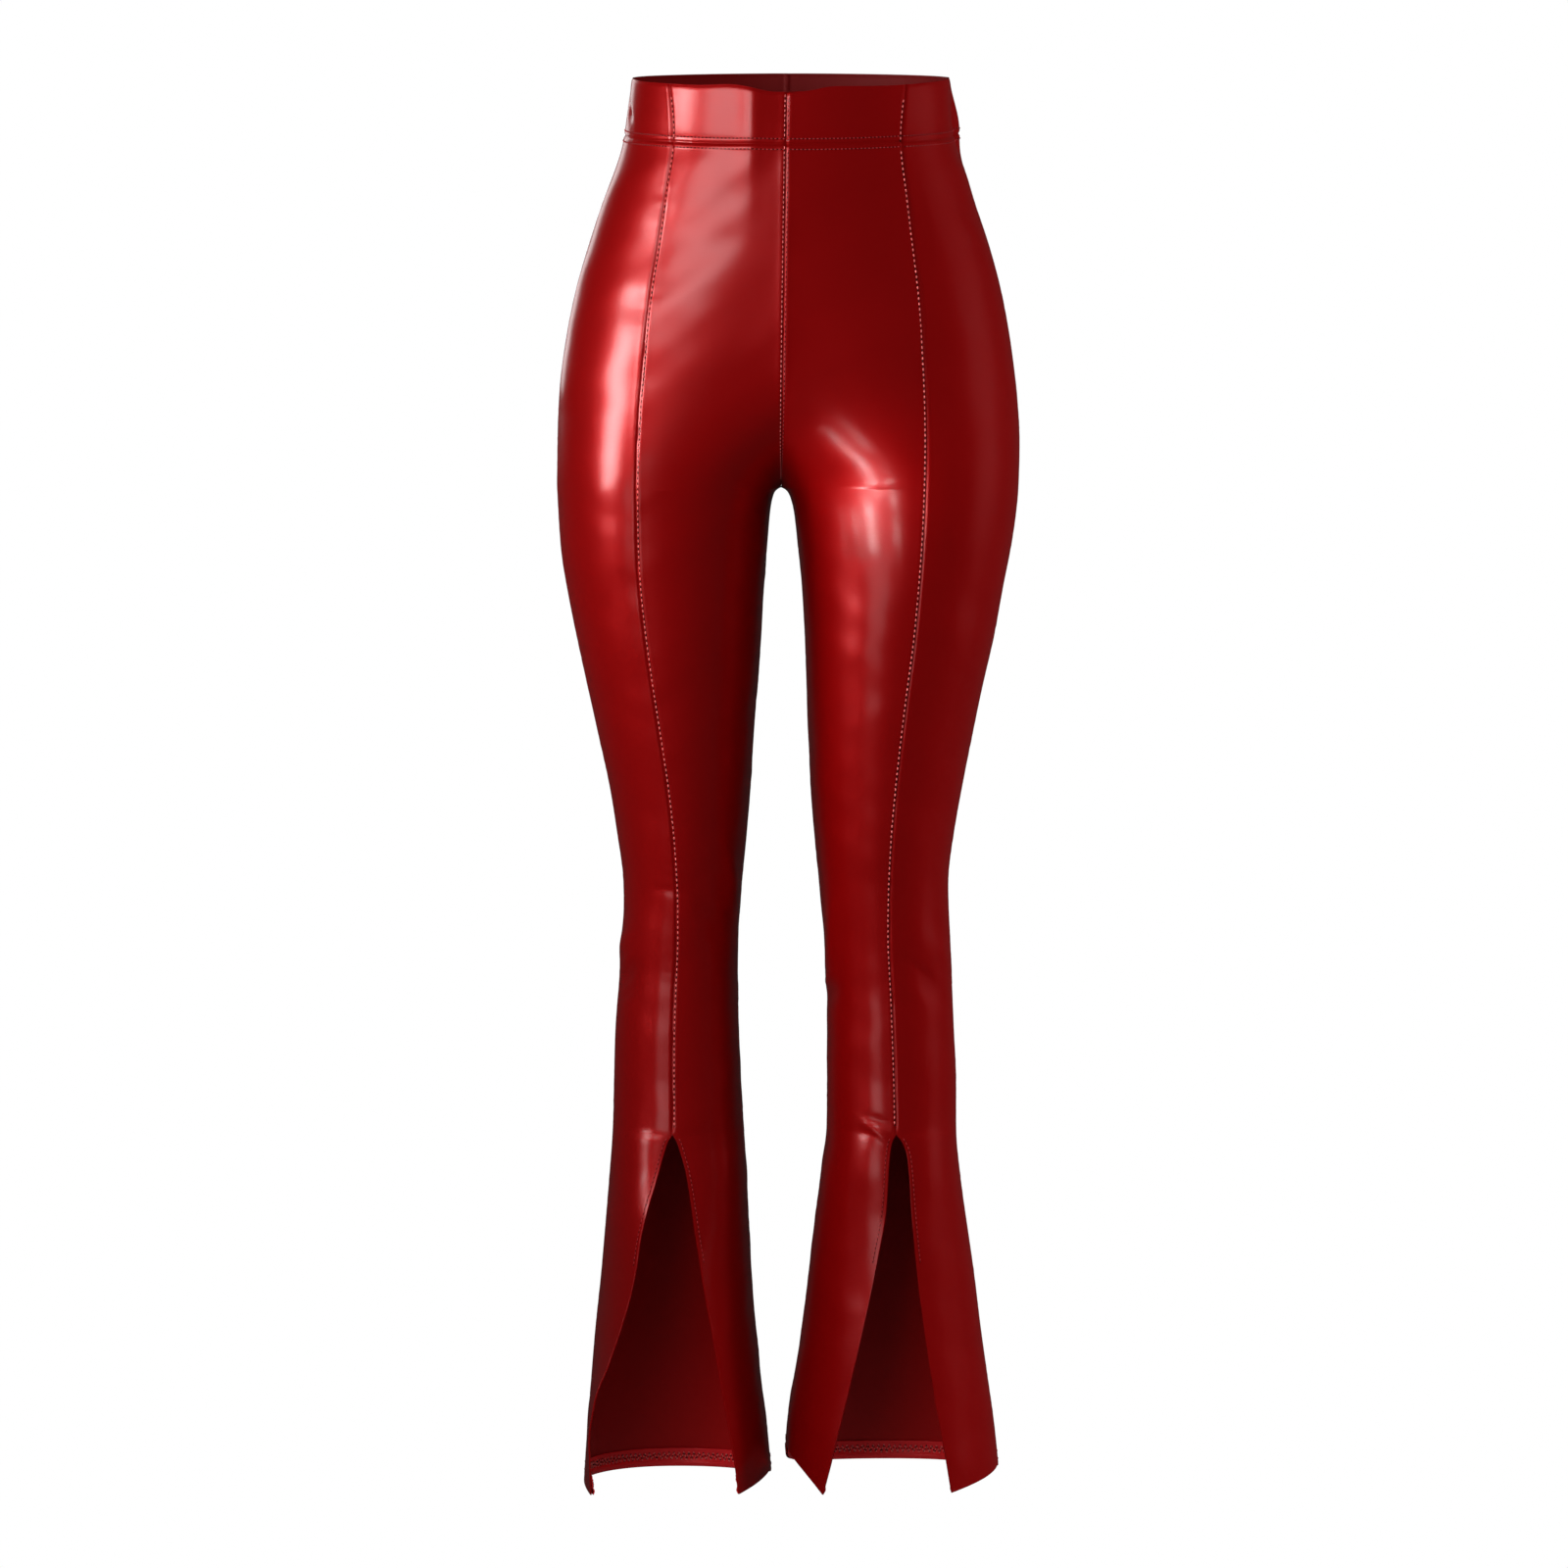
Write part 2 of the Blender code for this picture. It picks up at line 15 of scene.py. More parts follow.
import bmesh
import bpy
import numpy as np
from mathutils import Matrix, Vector


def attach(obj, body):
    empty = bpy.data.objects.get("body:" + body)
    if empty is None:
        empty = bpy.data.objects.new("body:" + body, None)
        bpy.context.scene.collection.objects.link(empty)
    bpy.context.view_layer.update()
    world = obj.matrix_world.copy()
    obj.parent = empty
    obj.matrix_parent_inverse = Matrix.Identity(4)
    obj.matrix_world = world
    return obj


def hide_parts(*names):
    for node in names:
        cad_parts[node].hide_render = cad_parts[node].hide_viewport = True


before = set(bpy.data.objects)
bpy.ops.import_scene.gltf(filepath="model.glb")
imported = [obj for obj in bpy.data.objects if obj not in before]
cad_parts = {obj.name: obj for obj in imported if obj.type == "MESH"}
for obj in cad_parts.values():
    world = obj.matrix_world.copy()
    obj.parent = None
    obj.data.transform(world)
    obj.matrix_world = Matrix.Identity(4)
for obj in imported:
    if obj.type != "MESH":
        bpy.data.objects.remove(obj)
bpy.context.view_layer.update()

LOG = logging.getLogger("trousers")
MM = 0.001
BODY = "root"
SEARCH_STEPS = 26
# Distances of a piece's outermost points from its seam. The first lies past the seam, so that the
# rounded rims of two pieces meet in its groove.
FINE = (-0.35, 0.2, 0.7, 1.4, 2.5, 4.2)
# Steps between the seeds of the puckers' and the slackness's random waves.
LEFT_SEED, WAIST_SEED, SLACK_SEED = 10, 30, 100
BUMP_HEIGHT = 0.0004


class Side(Enum):
    """The wearer's side that a leg is on, with the sign of its X."""

    RIGHT = -1
    LEFT = 1

    @property
    def label(self) -> str:
        """Word for this side in a piece's name."""
        return self.name.lower()


class Region(Enum):
    """Stretch round a leg that one panel covers."""

    FRONT = "front"
    FRONT_SIDE = "front_side"
    BACK = "back"

    @property
    def facing(self) -> int:
        """1 where shares count anticlockwise on the wearer's left leg, seen from above, else -1."""
        return -1 if self is Region.FRONT_SIDE else 1


class Tone(Enum):
    """The two colours of sewing thread."""

    BRIGHT = "bright"
    TONAL = "tonal"


class Level(NamedTuple):
    """One ring of a leg: where it ends towards the centre and outwards, and its front seam."""

    height: float
    inner: float
    outer: float
    princess: float


class Profile(NamedTuple):
    """Depth of both legs' rings in front of and behind their middle at one height."""

    height: float
    front: float
    back: float
    squareness: float


class Bridge(NamedTuple):
    """Share of the hollow between the legs' rings that the cloth bridges at one height."""

    height: float
    front: float
    back: float


class Slit(NamedTuple):
    """How far out the edges of the inner and the outer flap lie at one height."""

    height: float
    inner_flap: float
    outer_flap: float


class Hem(NamedTuple):
    """Heights of a leg's lower edge."""

    inner_side: float
    slit: float
    outer_side: float
    back: float


class Crease(NamedTuple):
    """Soft ridge, or trough where its depth is below zero, on a ring of the given radius."""

    angle: float
    height: float
    slope: float
    length: float
    width: float
    depth: float
    radius: float


class Wave(NamedTuple):
    """Lift of the waistband's upper edge at a distance from the centre seam."""

    across: float
    lift: float


class Run(NamedTuple):
    """Stretch of the panels' height and the spacing of the rows in it."""

    top: float
    bottom: float
    spacing: float


RIGHT_LEVELS = (
    Level(40, -114, 114, 90), Level(19, -115.5, 115.5, 87.5), Level(-5, -118.7, 118.7, 84.5),
    Level(-30, -121.8, 121.8, 82.5), Level(-46, -126.7, 126.7, 84.5), Level(-67, -134.5, 134.5, 87.5),
    Level(-104, -146.5, 146.5, 92), Level(-140, -122.8, 156.3, 97.4), Level(-177, -91.7, 163.1, 100.7),
    Level(-213, -65, 167.1, 103.5), Level(-250, -27.4, 168.1, 105.4), Level(-265, -12.6, 168.1, 105.7),
    Level(-277, -3.6, 168, 105.8), Level(-284.5, 0.16, 167.9, 105.8), Level(-301, 5.2, 167.2, 105.8),
    Level(-331, 9.4, 165.3, 105.3), Level(-360, 12.4, 160.8, 103.6), Level(-397, 14.8, 153.6, 99.6),
    Level(-434, 17.8, 145.6, 94.6), Level(-471, 20.7, 137.6, 89), Level(-508, 23, 129.5, 83.8),
    Level(-545, 26, 123.7, 80.1), Level(-583, 29.7, 118.9, 78), Level(-601, 31.2, 118.7, 77.7),
    Level(-620, 32.5, 120.2, 77.8), Level(-657, 32.9, 122.6, 79.5), Level(-695, 32, 125.5, 80.8),
    Level(-732, 30.6, 126.6, 80.9), Level(-770, 28.3, 127.6, 80.8), Level(-808, 26.1, 130.5, 80.8),
    Level(-883, 22.5, 137, 80.8), Level(-921, 19.5, 141.1, 80.8), Level(-959, 15.8, 144.4, 80.8),
    Level(-997, 11.3, 147.5, 80.8), Level(-1050, 6, 151.2, 80.8),
)
LEFT_LEVELS = (
    Level(40, -120, 120, 90), Level(19, -121.3, 121.3, 88), Level(-5, -122.4, 122.4, 85.5),
    Level(-30, -126, 126, 83.7), Level(-46, -133, 133, 85.5), Level(-67, -139.4, 139.4, 88.7),
    Level(-104, -152.6, 152.6, 93.6), Level(-140, -128, 162.8, 98.8), Level(-177, -95.7, 170.2, 102),
    Level(-213, -68.2, 175.3, 104.5), Level(-250, -29, 178.3, 106), Level(-265, -13.4, 178.4, 106.2),
    Level(-277, -3.8, 178.2, 106.2), Level(-284.5, 0.16, 178.1, 106), Level(-301, 6.6, 176.7, 105.5),
    Level(-331, 11.8, 172.4, 104), Level(-360, 15.2, 166.6, 101.8), Level(-397, 17.7, 160.1, 98.4),
    Level(-434, 19.2, 151.6, 93.6), Level(-471, 20.7, 144.1, 89.3), Level(-508, 22.2, 136.9, 85.5),
    Level(-545, 25.1, 130.4, 82.6), Level(-583, 28.9, 126.1, 80.9), Level(-601, 30.4, 126.5, 80.6),
    Level(-620, 32.4, 127.6, 80.7), Level(-657, 34.1, 129.2, 82.6), Level(-695, 34.9, 130.8, 84.2),
    Level(-732, 35, 132.7, 85.4), Level(-770, 34.6, 132.7, 85.9), Level(-808, 29.8, 136.3, 85.9),
    Level(-883, 20.8, 147, 85.9), Level(-921, 16.4, 151.6, 85.9), Level(-959, 10.4, 157, 85.9),
    Level(-997, 4.6, 162.4, 85.9), Level(-1050, 1.6, 168, 85.9),
)
PROFILES = (
    Profile(40, 89, 97, 2.1), Profile(0, 93, 98, 2.1), Profile(-67, 100, 107, 2.15),
    Profile(-140, 105, 124, 2.2), Profile(-177, 106.3, 129, 2.2), Profile(-213, 106.3, 129.5, 2.2),
    Profile(-250, 104.8, 124, 2.2), Profile(-284.5, 102, 114, 2.15), Profile(-331, 97.6, 103, 2.1),
    Profile(-397, 91, 91, 2.1), Profile(-471, 81.5, 76, 2.05), Profile(-545, 71, 62, 2),
    Profile(-600, 64, 56, 2), Profile(-657, 60, 58, 2), Profile(-700, 60, 61, 2),
    Profile(-732, 61, 64, 2), Profile(-765, 63.5, 66.5, 2), Profile(-800, 67, 69, 2),
    Profile(-845, 70, 72, 2.05), Profile(-1050, 80, 80, 2.1),
)
BRIDGES = (
    Bridge(-120, 1, 1), Bridge(-177, 0.96, 0.92), Bridge(-213, 0.86, 0.8), Bridge(-250, 0.5, 0.45),
    Bridge(-265, 0.3, 0.25), Bridge(-277, 0.1, 0.08), Bridge(-284.5, 0, 0),
)
RIGHT_SLIT = (
    Slit(-765, 80.8, 80.8), Slit(-770, 77.9, 84.2), Slit(-779, 74.9, 87.3), Slit(-794, 70.7, 91.6),
    Slit(-838, 63.5, 104.2), Slit(-868, 58.4, 109.2), Slit(-897, 53.3, 116), Slit(-934, 46.8, 129),
    Slit(-964, 41.7, 139.6), Slit(-994, 36.6, 143.6), Slit(-1050, 28, 141.5),
)
LEFT_SLIT = (
    Slit(-765, 85.9, 85.9), Slit(-769, 83.2, 89.6), Slit(-783, 80.7, 94.6), Slit(-823, 78.2, 97.8),
    Slit(-860, 71.5, 101.2), Slit(-905, 62.1, 106.7), Slit(-942, 53.4, 112), Slit(-979, 44.6, 118.4),
    Slit(-1050, 26.5, 131),
)
RIGHT_HEM = Hem(inner_side=-1030, slit=-1033, outer_side=-1037, back=-1049)
LEFT_HEM = Hem(inner_side=-1013, slit=-1034, outer_side=-1028, back=-1043)

RIGHT_CREASES = (
    Crease(angle=32, height=-582, slope=68, length=34, width=10, depth=2.4, radius=52),
    Crease(angle=62, height=-600, slope=60, length=30, width=9, depth=-1.8, radius=52),
    Crease(angle=150, height=-650, slope=-28, length=16, width=8, depth=-2.2, radius=50),
    Crease(angle=163, height=-628, slope=-20, length=20, width=9, depth=1.8, radius=50),
    Crease(angle=262, height=-566, slope=8, length=34, width=10, depth=-2.4, radius=52),
    Crease(angle=276, height=-596, slope=-6, length=40, width=10, depth=2.6, radius=50),
    Crease(angle=268, height=-628, slope=10, length=36, width=10, depth=-2.6, radius=50),
    Crease(angle=284, height=-306, slope=-24, length=42, width=12, depth=-2.6, radius=88),
    Crease(angle=243, height=-334, slope=14, length=38, width=12, depth=2, radius=88),
    Crease(angle=104, height=-582, slope=4, length=15, width=3.5, depth=-0.5, radius=52),
    Crease(angle=148, height=-664, slope=-24, length=13, width=3.5, depth=-0.9, radius=50),
    Crease(angle=154, height=-641, slope=-34, length=14, width=3.5, depth=0.8, radius=50),
    Crease(angle=168, height=-6, slope=32, length=12, width=3.2, depth=-2.4, radius=115),
    Crease(angle=102.5, height=-10, slope=88, length=60, width=8, depth=1.6, radius=115),
    Crease(angle=91, height=-4, slope=90, length=46, width=30, depth=2.6, radius=115),
)
LEFT_CREASES = (
    Crease(angle=24, height=-622, slope=72, length=30, width=10, depth=2.4, radius=52),
    Crease(angle=20, height=-664, slope=20, length=18, width=8, depth=-2, radius=50),
    Crease(angle=128, height=-656, slope=-36, length=18, width=9, depth=-2, radius=50),
    Crease(angle=146, height=-634, slope=-30, length=22, width=9, depth=1.6, radius=50),
    Crease(angle=280, height=-560, slope=-10, length=32, width=10, depth=-2.2, radius=52),
    Crease(angle=264, height=-590, slope=8, length=40, width=10, depth=2.4, radius=50),
    Crease(angle=274, height=-620, slope=-8, length=38, width=10, depth=-2.6, radius=50),
    Crease(angle=282, height=-312, slope=-20, length=40, width=12, depth=-2.4, radius=88),
    Crease(angle=240, height=-342, slope=16, length=36, width=12, depth=2.2, radius=88),
    Crease(angle=185.6, height=-14, slope=90, length=24, width=6, depth=6.2, radius=118),
    Crease(angle=70, height=-305, slope=90, length=72, width=33, depth=-3.4, radius=86),
    Crease(angle=76, height=-764, slope=-27, length=15, width=3, depth=1.3, radius=56),
    Crease(angle=79, height=-756, slope=-12, length=12, width=3, depth=-0.9, radius=56),
    Crease(angle=12, height=-655, slope=26, length=13, width=3.2, depth=0.9, radius=50),
    Crease(angle=122, height=-645, slope=-34, length=14, width=3.5, depth=-0.8, radius=50),
)
TOP_WAVES = (
    Wave(-122, 0), Wave(-88, 0.5), Wave(-66, 0.2), Wave(-42, 1.4), Wave(-8, -4), Wave(14, -3.4),
    Wave(34, 0), Wave(75, -0.6), Wave(122, 0.4),
)
ROW_RUNS = (
    Run(-22, -240, 3), Run(-240, -274, 2), Run(-274, -284.5, 0.75), Run(-284.5, -290, 0.5),
    Run(-290, -310, 1.2), Run(-310, -540, 3), Run(-540, -690, 2.2), Run(-690, -765, 2.8),
    Run(-765, -776, 0.7), Run(-776, -1032, 2.8),
)


def ease(share: np.ndarray) -> np.ndarray:
    """Rise smoothly from 0 to 1 as share does."""
    share = np.clip(share, 0.0, 1.0)
    return share * share * (3 - 2 * share)


def mix(first: np.ndarray, last: np.ndarray, share: np.ndarray) -> np.ndarray:
    """Value at a share of the way from first to last."""
    return first + (last - first) * share


def unit(vectors: np.ndarray) -> np.ndarray:
    """Vectors of the same directions, one long."""
    return vectors / np.maximum(np.linalg.norm(vectors, axis=-1, keepdims=True), 1e-12)


def search(measure: Callable[[np.ndarray], np.ndarray], target: np.ndarray, low: float,
           high: float) -> np.ndarray:
    """Find where a rising measure reaches each target.

    Args:
        measure: function of an array that rises with it.
        target: values to reach.
        low: smallest answer.
        high: largest answer.

    Returns:
        The answers, in the shape of the target.
    """
    lows, highs = np.full(target.shape, low), np.full(target.shape, high)
    for _ in range(SEARCH_STEPS):
        middle = (lows + highs) / 2
        below = measure(middle) < target
        lows, highs = np.where(below, middle, lows), np.where(below, highs, middle)
    return (lows + highs) / 2


class Track:
    """A measure down or across the garment, rounded enough to carry an even reflection."""

    overrun: int = 80

    def __init__(self, places: list[float], values: list[float], rounding: float) -> None:
        """Work the measure out at every millimetre.

        Args:
            places: where the values are known.
            values: the values there.
            rounding: spread of the smoothing, in millimetres.
        """
        order = np.argsort(places)
        x, y = np.array(places, float)[order], np.array(values, float)[order]
        rise = np.diff(y) / np.diff(x)
        with np.errstate(divide="ignore", invalid="ignore"):
            shared = np.where(rise[:-1] * rise[1:] > 0, 2 * rise[:-1] * rise[1:] / (rise[:-1] + rise[1:]), 0)
        slope = np.concatenate([rise[:1], shared, rise[-1:]])
        self.places = np.arange(x[0] - self.overrun, x[-1] + self.overrun + 1, 1.0)
        i = np.clip(np.searchsorted(x, self.places) - 1, 0, len(x) - 2)
        span = x[i + 1] - x[i]
        s = (self.places - x[i]) / span
        bend = slope[i] * s * (1 - s) ** 2 - slope[i + 1] * s ** 2 * (1 - s)
        inside = mix(y[i], y[i + 1], ease(s)) + bend * span
        before = y[0] + slope[0] * (self.places - x[0])
        after = y[-1] + slope[-1] * (self.places - x[-1])
        raw = np.where(s < 0, before, np.where(s > 1, after, inside))
        reach = int(rounding * 3)
        kernel = np.exp(-0.5 * (np.arange(-reach, reach + 1) / rounding) ** 2)
        padded = np.pad(raw, reach, mode="reflect", reflect_type="odd")
        self.values = np.convolve(padded, kernel / kernel.sum(), mode="valid")

    def at(self, place: np.ndarray) -> np.ndarray:
        """Values of the measure at the given places."""
        return np.interp(place, self.places, self.values)


def track_of(rows: tuple, name: str, rounding: float) -> Track:
    """Track of one named column of a table whose first column is the height or distance."""
    return Track([row[0] for row in rows], [getattr(row, name) for row in rows], rounding)


@dataclass
class Ripples:
    """Irregular small waves along a seam, where its thread draws the cloth in."""

    seed: int
    longest: float = 15.0
    shortest: float = 4.5
    count: int = 7
    fade: float = 0.4
    swell_length: float = 83.0
    swell_mean: float = 0.55
    swell_swing: float = 0.45
    levelling: float = 1.5

    def at(self, place: np.ndarray) -> np.ndarray:
        """Height of the waves along the seam.

        Args:
            place: distances along the seam, in millimetres.

        Returns:
            Heights there, about 1 at most.
        """
        rng = np.random.default_rng(self.seed)
        lengths = np.geomspace(self.longest, self.shortest, self.count)
        total = np.zeros_like(place)
        for length, phase in zip(lengths, rng.uniform(0, math.tau, self.count)):
            total += np.sin(place * math.tau / length + phase) * (length / self.longest) ** self.fade
        swell = np.sin(place * math.tau / self.swell_length + rng.uniform(0, math.tau))
        slow = self.swell_mean + self.swell_swing * swell
        return total * slow / self.count ** 0.5 / self.levelling


@dataclass
class Leg:
    """The surface of one half of the garment, from which every piece of it is worked out."""

    side: Side
    levels: tuple[Level, ...]
    slit: tuple[Slit, ...]
    hem: Hem
    creases: tuple[Crease, ...]
    seam_gap: float = 0.04
    crotch: float = -284.5
    centre_lean: float = -4.4
    # The round opening under the crotch, and the cloth that bridges the hollow above it.
    arch: float = 4.5
    arch_rounding: float = 2.0
    arch_fade: float = 40.0
    arch_focus: float = 10.0
    bridge_focus: float = 3.0
    # The belly's lift towards the centre front seam.
    ridge_lift: float = 4.5
    ridge_width: float = 38.0
    ridge_start: float = 30.0
    ridge_rise: float = 90.0
    ridge_fade: float = 60.0
    ridge_at_waist: float = 0.35
    # The flaps beside the slit.
    slit_top: float = -765.0
    flap_width: float = 90.0
    flap_blend: float = 110.0
    flap_start: float = 6.0
    least_inset: float = 0.5
    # The seam under the waistband and the lower edge.
    waist_seam_side: float = -22.0
    waist_seam_front: float = -34.0
    waist_seam_back: float = -13.0
    waist_tilt_end: float = -150.0
    band_height: float = 42.0
    hem_level: float = -1032.0
    hem_drop: float = 2.0
    back_drop: float = 0.45
    # The groove, shoulder and puckers of every seam, and how the cloth calms towards the centre.
    centre_calm: float = 26.0
    seam_depth: float = 0.75
    seam_width: float = 1.1
    seam_shoulder: float = 0.22
    shoulder_place: float = 2.6
    shoulder_width: float = 1.5
    pucker: float = 0.2
    pucker_reach: float = 6.0
    seam_reach: float = 6.0
    seam_rise: float = 2.0
    # Steps in which directions and widths are measured.
    step: float = 0.4
    usual_width: float = 90.0
    width_steps: int = 12

    def __post_init__(self) -> None:
        """Turn the tables into tracks."""
        self.inner = track_of(self.levels, "inner", rounding=3.0)
        self.outer = track_of(self.levels, "outer", rounding=7.0)
        self.princess = track_of(self.levels, "princess", rounding=9.0)
        self.inner_flap = track_of(self.slit, "inner_flap", rounding=2.0)
        self.outer_flap = track_of(self.slit, "outer_flap", rounding=2.0)
        self.front = track_of(PROFILES, "front", rounding=12.0)
        self.back = track_of(PROFILES, "back", rounding=12.0)
        self.squareness = track_of(PROFILES, "squareness", rounding=12.0)
        self.front_bridge = track_of(BRIDGES, "front", rounding=4.0)
        self.back_bridge = track_of(BRIDGES, "back", rounding=4.0)
        self.top_wave = track_of(TOP_WAVES, "lift", rounding=3.0)

    def lean(self, height: np.ndarray) -> np.ndarray:
        """X of the centre seams at the given heights."""
        return self.centre_lean * np.clip(height / self.crotch, 0.0, 1.0)

    def ring(self, angle: np.ndarray, height: np.ndarray) -> np.ndarray:
        """Points of the whole ring, before it is cut or folded.

        Args:
            angle: degrees round the leg.
            height: millimetres from the origin.

        Returns:
            Points in millimetres, with X counted outwards from the centre seam.
        """
        inner, outer = self.inner.at(height), self.outer.at(height)
        cosine, sine = np.cos(np.radians(angle)), np.sin(np.radians(angle))
        power = self.squareness.at(height)
        swell = (np.abs(cosine) ** power + np.abs(sine) ** power) ** (-1 / power)
        at_front = sine >= 0
        depth = np.where(at_front, -self.front.at(height), self.back.at(height))
        bridge = np.where(at_front, self.front_bridge.at(height), self.back_bridge.at(height))
        bridge = np.clip(bridge, 0.0, 1.0) ** (1 + self.bridge_focus * (1 - np.clip(cosine, 0, 1)))
        reach = np.abs(sine) * swell
        inwards = cosine > 0
        reach = np.where(inwards, 1 - (1 - bridge) * (1 - reach), reach)
        below = np.maximum(self.crotch - height, 0.0)
        arch = self.arch * (1 - np.exp(-below / self.arch_rounding)) * np.exp(-below / self.arch_fade)
        across = (inner + outer) / 2 - (outer - inner) / 2 * cosine * swell
        across = across + np.where(inwards, arch * np.abs(cosine) ** self.arch_focus, 0.0)
        return np.stack([across, depth * reach, height + 0 * across], axis=-1)

    def centre_angle(self, height: np.ndarray) -> np.ndarray:
        """Angles at which the rings meet the centre seam, or 0 below the crotch.

        Args:
            height: millimetres from the origin.

        Returns:
            Angles in degrees, in the shape of the heights.
        """
        target = np.full(height.shape, self.seam_gap / 2)
        angle = search(lambda a: self.ring(a, height)[..., 0], target, low=0.0, high=100.0)
        return np.where(self.inner.at(height) >= self.seam_gap / 2, 0.0, angle)

    def princess_angle(self, height: np.ndarray) -> np.ndarray:
        """Angles of the seam down the middle of the leg's front."""
        return search(lambda a: self.ring(a, height)[..., 0], self.princess.at(height), low=20.0, high=160.0)

    def flap(self, share: np.ndarray, inset: np.ndarray) -> tuple[np.ndarray, np.ndarray]:
        """Bend a flap into an even curve.

        Args:
            share: share of the way across the flap, from its seam.
            inset: how far inwards its free edge lies.

        Returns:
            Distances inwards and forwards from the seam.
        """
        turn = search(lambda a: (1 - np.cos(a)) / a, inset / self.flap_width, low=0.001, high=2.2)
        radius = self.flap_width / turn
        return radius * (1 - np.cos(turn * share)), radius * np.sin(turn * share)

    def base(self, region: Region, share: np.ndarray, height: np.ndarray) -> tuple[np.ndarray, np.ndarray]:
        """Smooth points of a region and their angles.

        Args:
            region: the panel's stretch round the leg.
            share: share of the way across it, from its first seam.
            height: millimetres from the origin.

        Returns:
            Points with X counted outwards, and their angles in degrees.
        """
        centre = self.centre_angle(height)
        if region is Region.BACK:
            angle = mix(180.0, 360 - centre, share)
            return self.ring(angle, height), angle
        princess = self.princess_angle(np.maximum(height, self.slit_top))
        start = centre if region is Region.FRONT else 180.0
        angle = mix(start, princess, share)
        shut = self.ring(angle, height)
        if height.min() >= self.slit_top:
            return shut, angle
        if region is Region.FRONT:
            seam, edge = self.inner.at(height), self.inner_flap.at(height)
        else:
            seam, edge = self.outer.at(height), self.outer_flap.at(height)
        opening = ease((self.slit_top - height) / self.flap_blend)
        inset = np.maximum(np.abs(edge - seam), self.least_inset)
        inwards, forwards = self.flap(share, inset)
        round_share = 1 - np.cos(math.pi / 2 * share)
        across = mix(seam, edge, mix(round_share, inwards / inset, opening))
        depth = mix(self.front.at(height) * np.sin(math.pi / 2 * share), forwards, opening)
        open_flap = np.stack([across, -depth, height + 0 * across], axis=-1)
        start_blend = ease((self.slit_top + self.flap_start - height) / (2 * self.flap_start))
        return mix(shut, open_flap, start_blend[..., None]), angle

    def placed(self, region: Region, share: np.ndarray, height: np.ndarray) -> np.ndarray:
        """Smooth points with X on the leg's own side.

        Args:
            region: the panel's stretch round the leg.
            share: share of the way across it.
            height: millimetres from the origin.

        Returns:
            Points in the garment's frame, in millimetres.
        """
        points = self.base(region, share, height)[0].copy()
        points[..., 0] = self.side.value * points[..., 0] + self.lean(height)
        return points

    def normals(self, region: Region, share: np.ndarray, height: np.ndarray) -> np.ndarray:
        """Outward directions of the smooth surface.

        Args:
            region: the panel's stretch round the leg.
            share: share of the way across it.
            height: millimetres from the origin.

        Returns:
            One vector for each point, one long.
        """
        span, rise = self.step / self.usual_width, self.step
        across = self.placed(region, share + span, height) - self.placed(region, share - span, height)
        up = self.placed(region, share, height + rise) - self.placed(region, share, height - rise)
        return unit(np.cross(across, up)) * self.side.value * region.facing

    def width(self, region: Region, height: np.ndarray) -> np.ndarray:
        """Distance across a region along the cloth.

        Args:
            region: the panel's stretch round the leg.
            height: millimetres from the origin.

        Returns:
            One width for each height.
        """
        shares = np.linspace(0, 1, self.width_steps + 1)
        ends = [self.placed(region, np.full(height.shape, share), height) for share in shares]
        return sum(np.linalg.norm(b - a, axis=-1) for a, b in zip(ends, ends[1:]))

    def crease_depth(self, angle: np.ndarray, height: np.ndarray) -> np.ndarray:
        """How far the creases move the cloth outwards.

        Args:
            angle: degrees round the leg.
            height: millimetres from the origin.

        Returns:
            Distances in millimetres, below zero in a trough.
        """
        total = np.zeros_like(height + angle)
        for crease in self.creases:
            turn = (angle - crease.angle + 180) % 360 - 180
            around = np.radians(turn) * crease.radius
            above = height - crease.height
            slope = math.radians(crease.slope)
            along = around * math.cos(slope) + above * math.sin(slope)
            across = above * math.cos(slope) - around * math.sin(slope)
            total += crease.depth * np.exp(-(along / crease.length) ** 2 - (across / crease.width) ** 2)
        return total

    def seam_profile(self, distance: np.ndarray) -> np.ndarray:
        """Groove of a seam and the low shoulder beside it, at distances from the seam."""
        groove = -self.seam_depth * np.exp(-(distance / self.seam_width) ** 2)
        past_shoulder = (distance - self.shoulder_place) / self.shoulder_width
        return groove + self.seam_shoulder * np.exp(-past_shoulder ** 2)

    def seam_relief(self, distance: np.ndarray, place: np.ndarray, seed: int) -> np.ndarray:
        """Groove, shoulder and puckers of a seam.

        Args:
            distance: distances from the seam.
            place: places along it.
            seed: of its puckers' waves.

        Returns:
            How far the cloth lies outwards.
        """
        ripples = self.pucker * Ripples(seed).at(place) * np.exp(-distance / self.pucker_reach)
        return self.seam_profile(distance) + ripples

    def skin(self, region: Region, share: np.ndarray, height: np.ndarray, outwards: np.ndarray) -> np.ndarray:
        """Points of the creased cloth.

        Args:
            region: the panel's stretch round the leg.
            share: share of the way across it.
            height: millimetres from the origin.
            outwards: distance to move each point outwards.

        Returns:
            Points in the garment's frame, in millimetres.
        """
        points, angle = self.base(region, share, height)
        across = points[..., 0]
        lift = self.crease_depth(angle, height) * ease(across / self.centre_calm) + outwards
        if region is Region.FRONT:
            lift = lift + self.centre_ridge(across, height)
        normals = self.normals(region, share, height)
        above = ease((height - self.crotch) / self.seam_rise)
        normals[..., 0] *= mix(1.0, ease(across / self.seam_reach), above)
        points = points.copy()
        points[..., 0] = self.side.value * across + self.lean(height)
        return points + normals * lift[..., None]

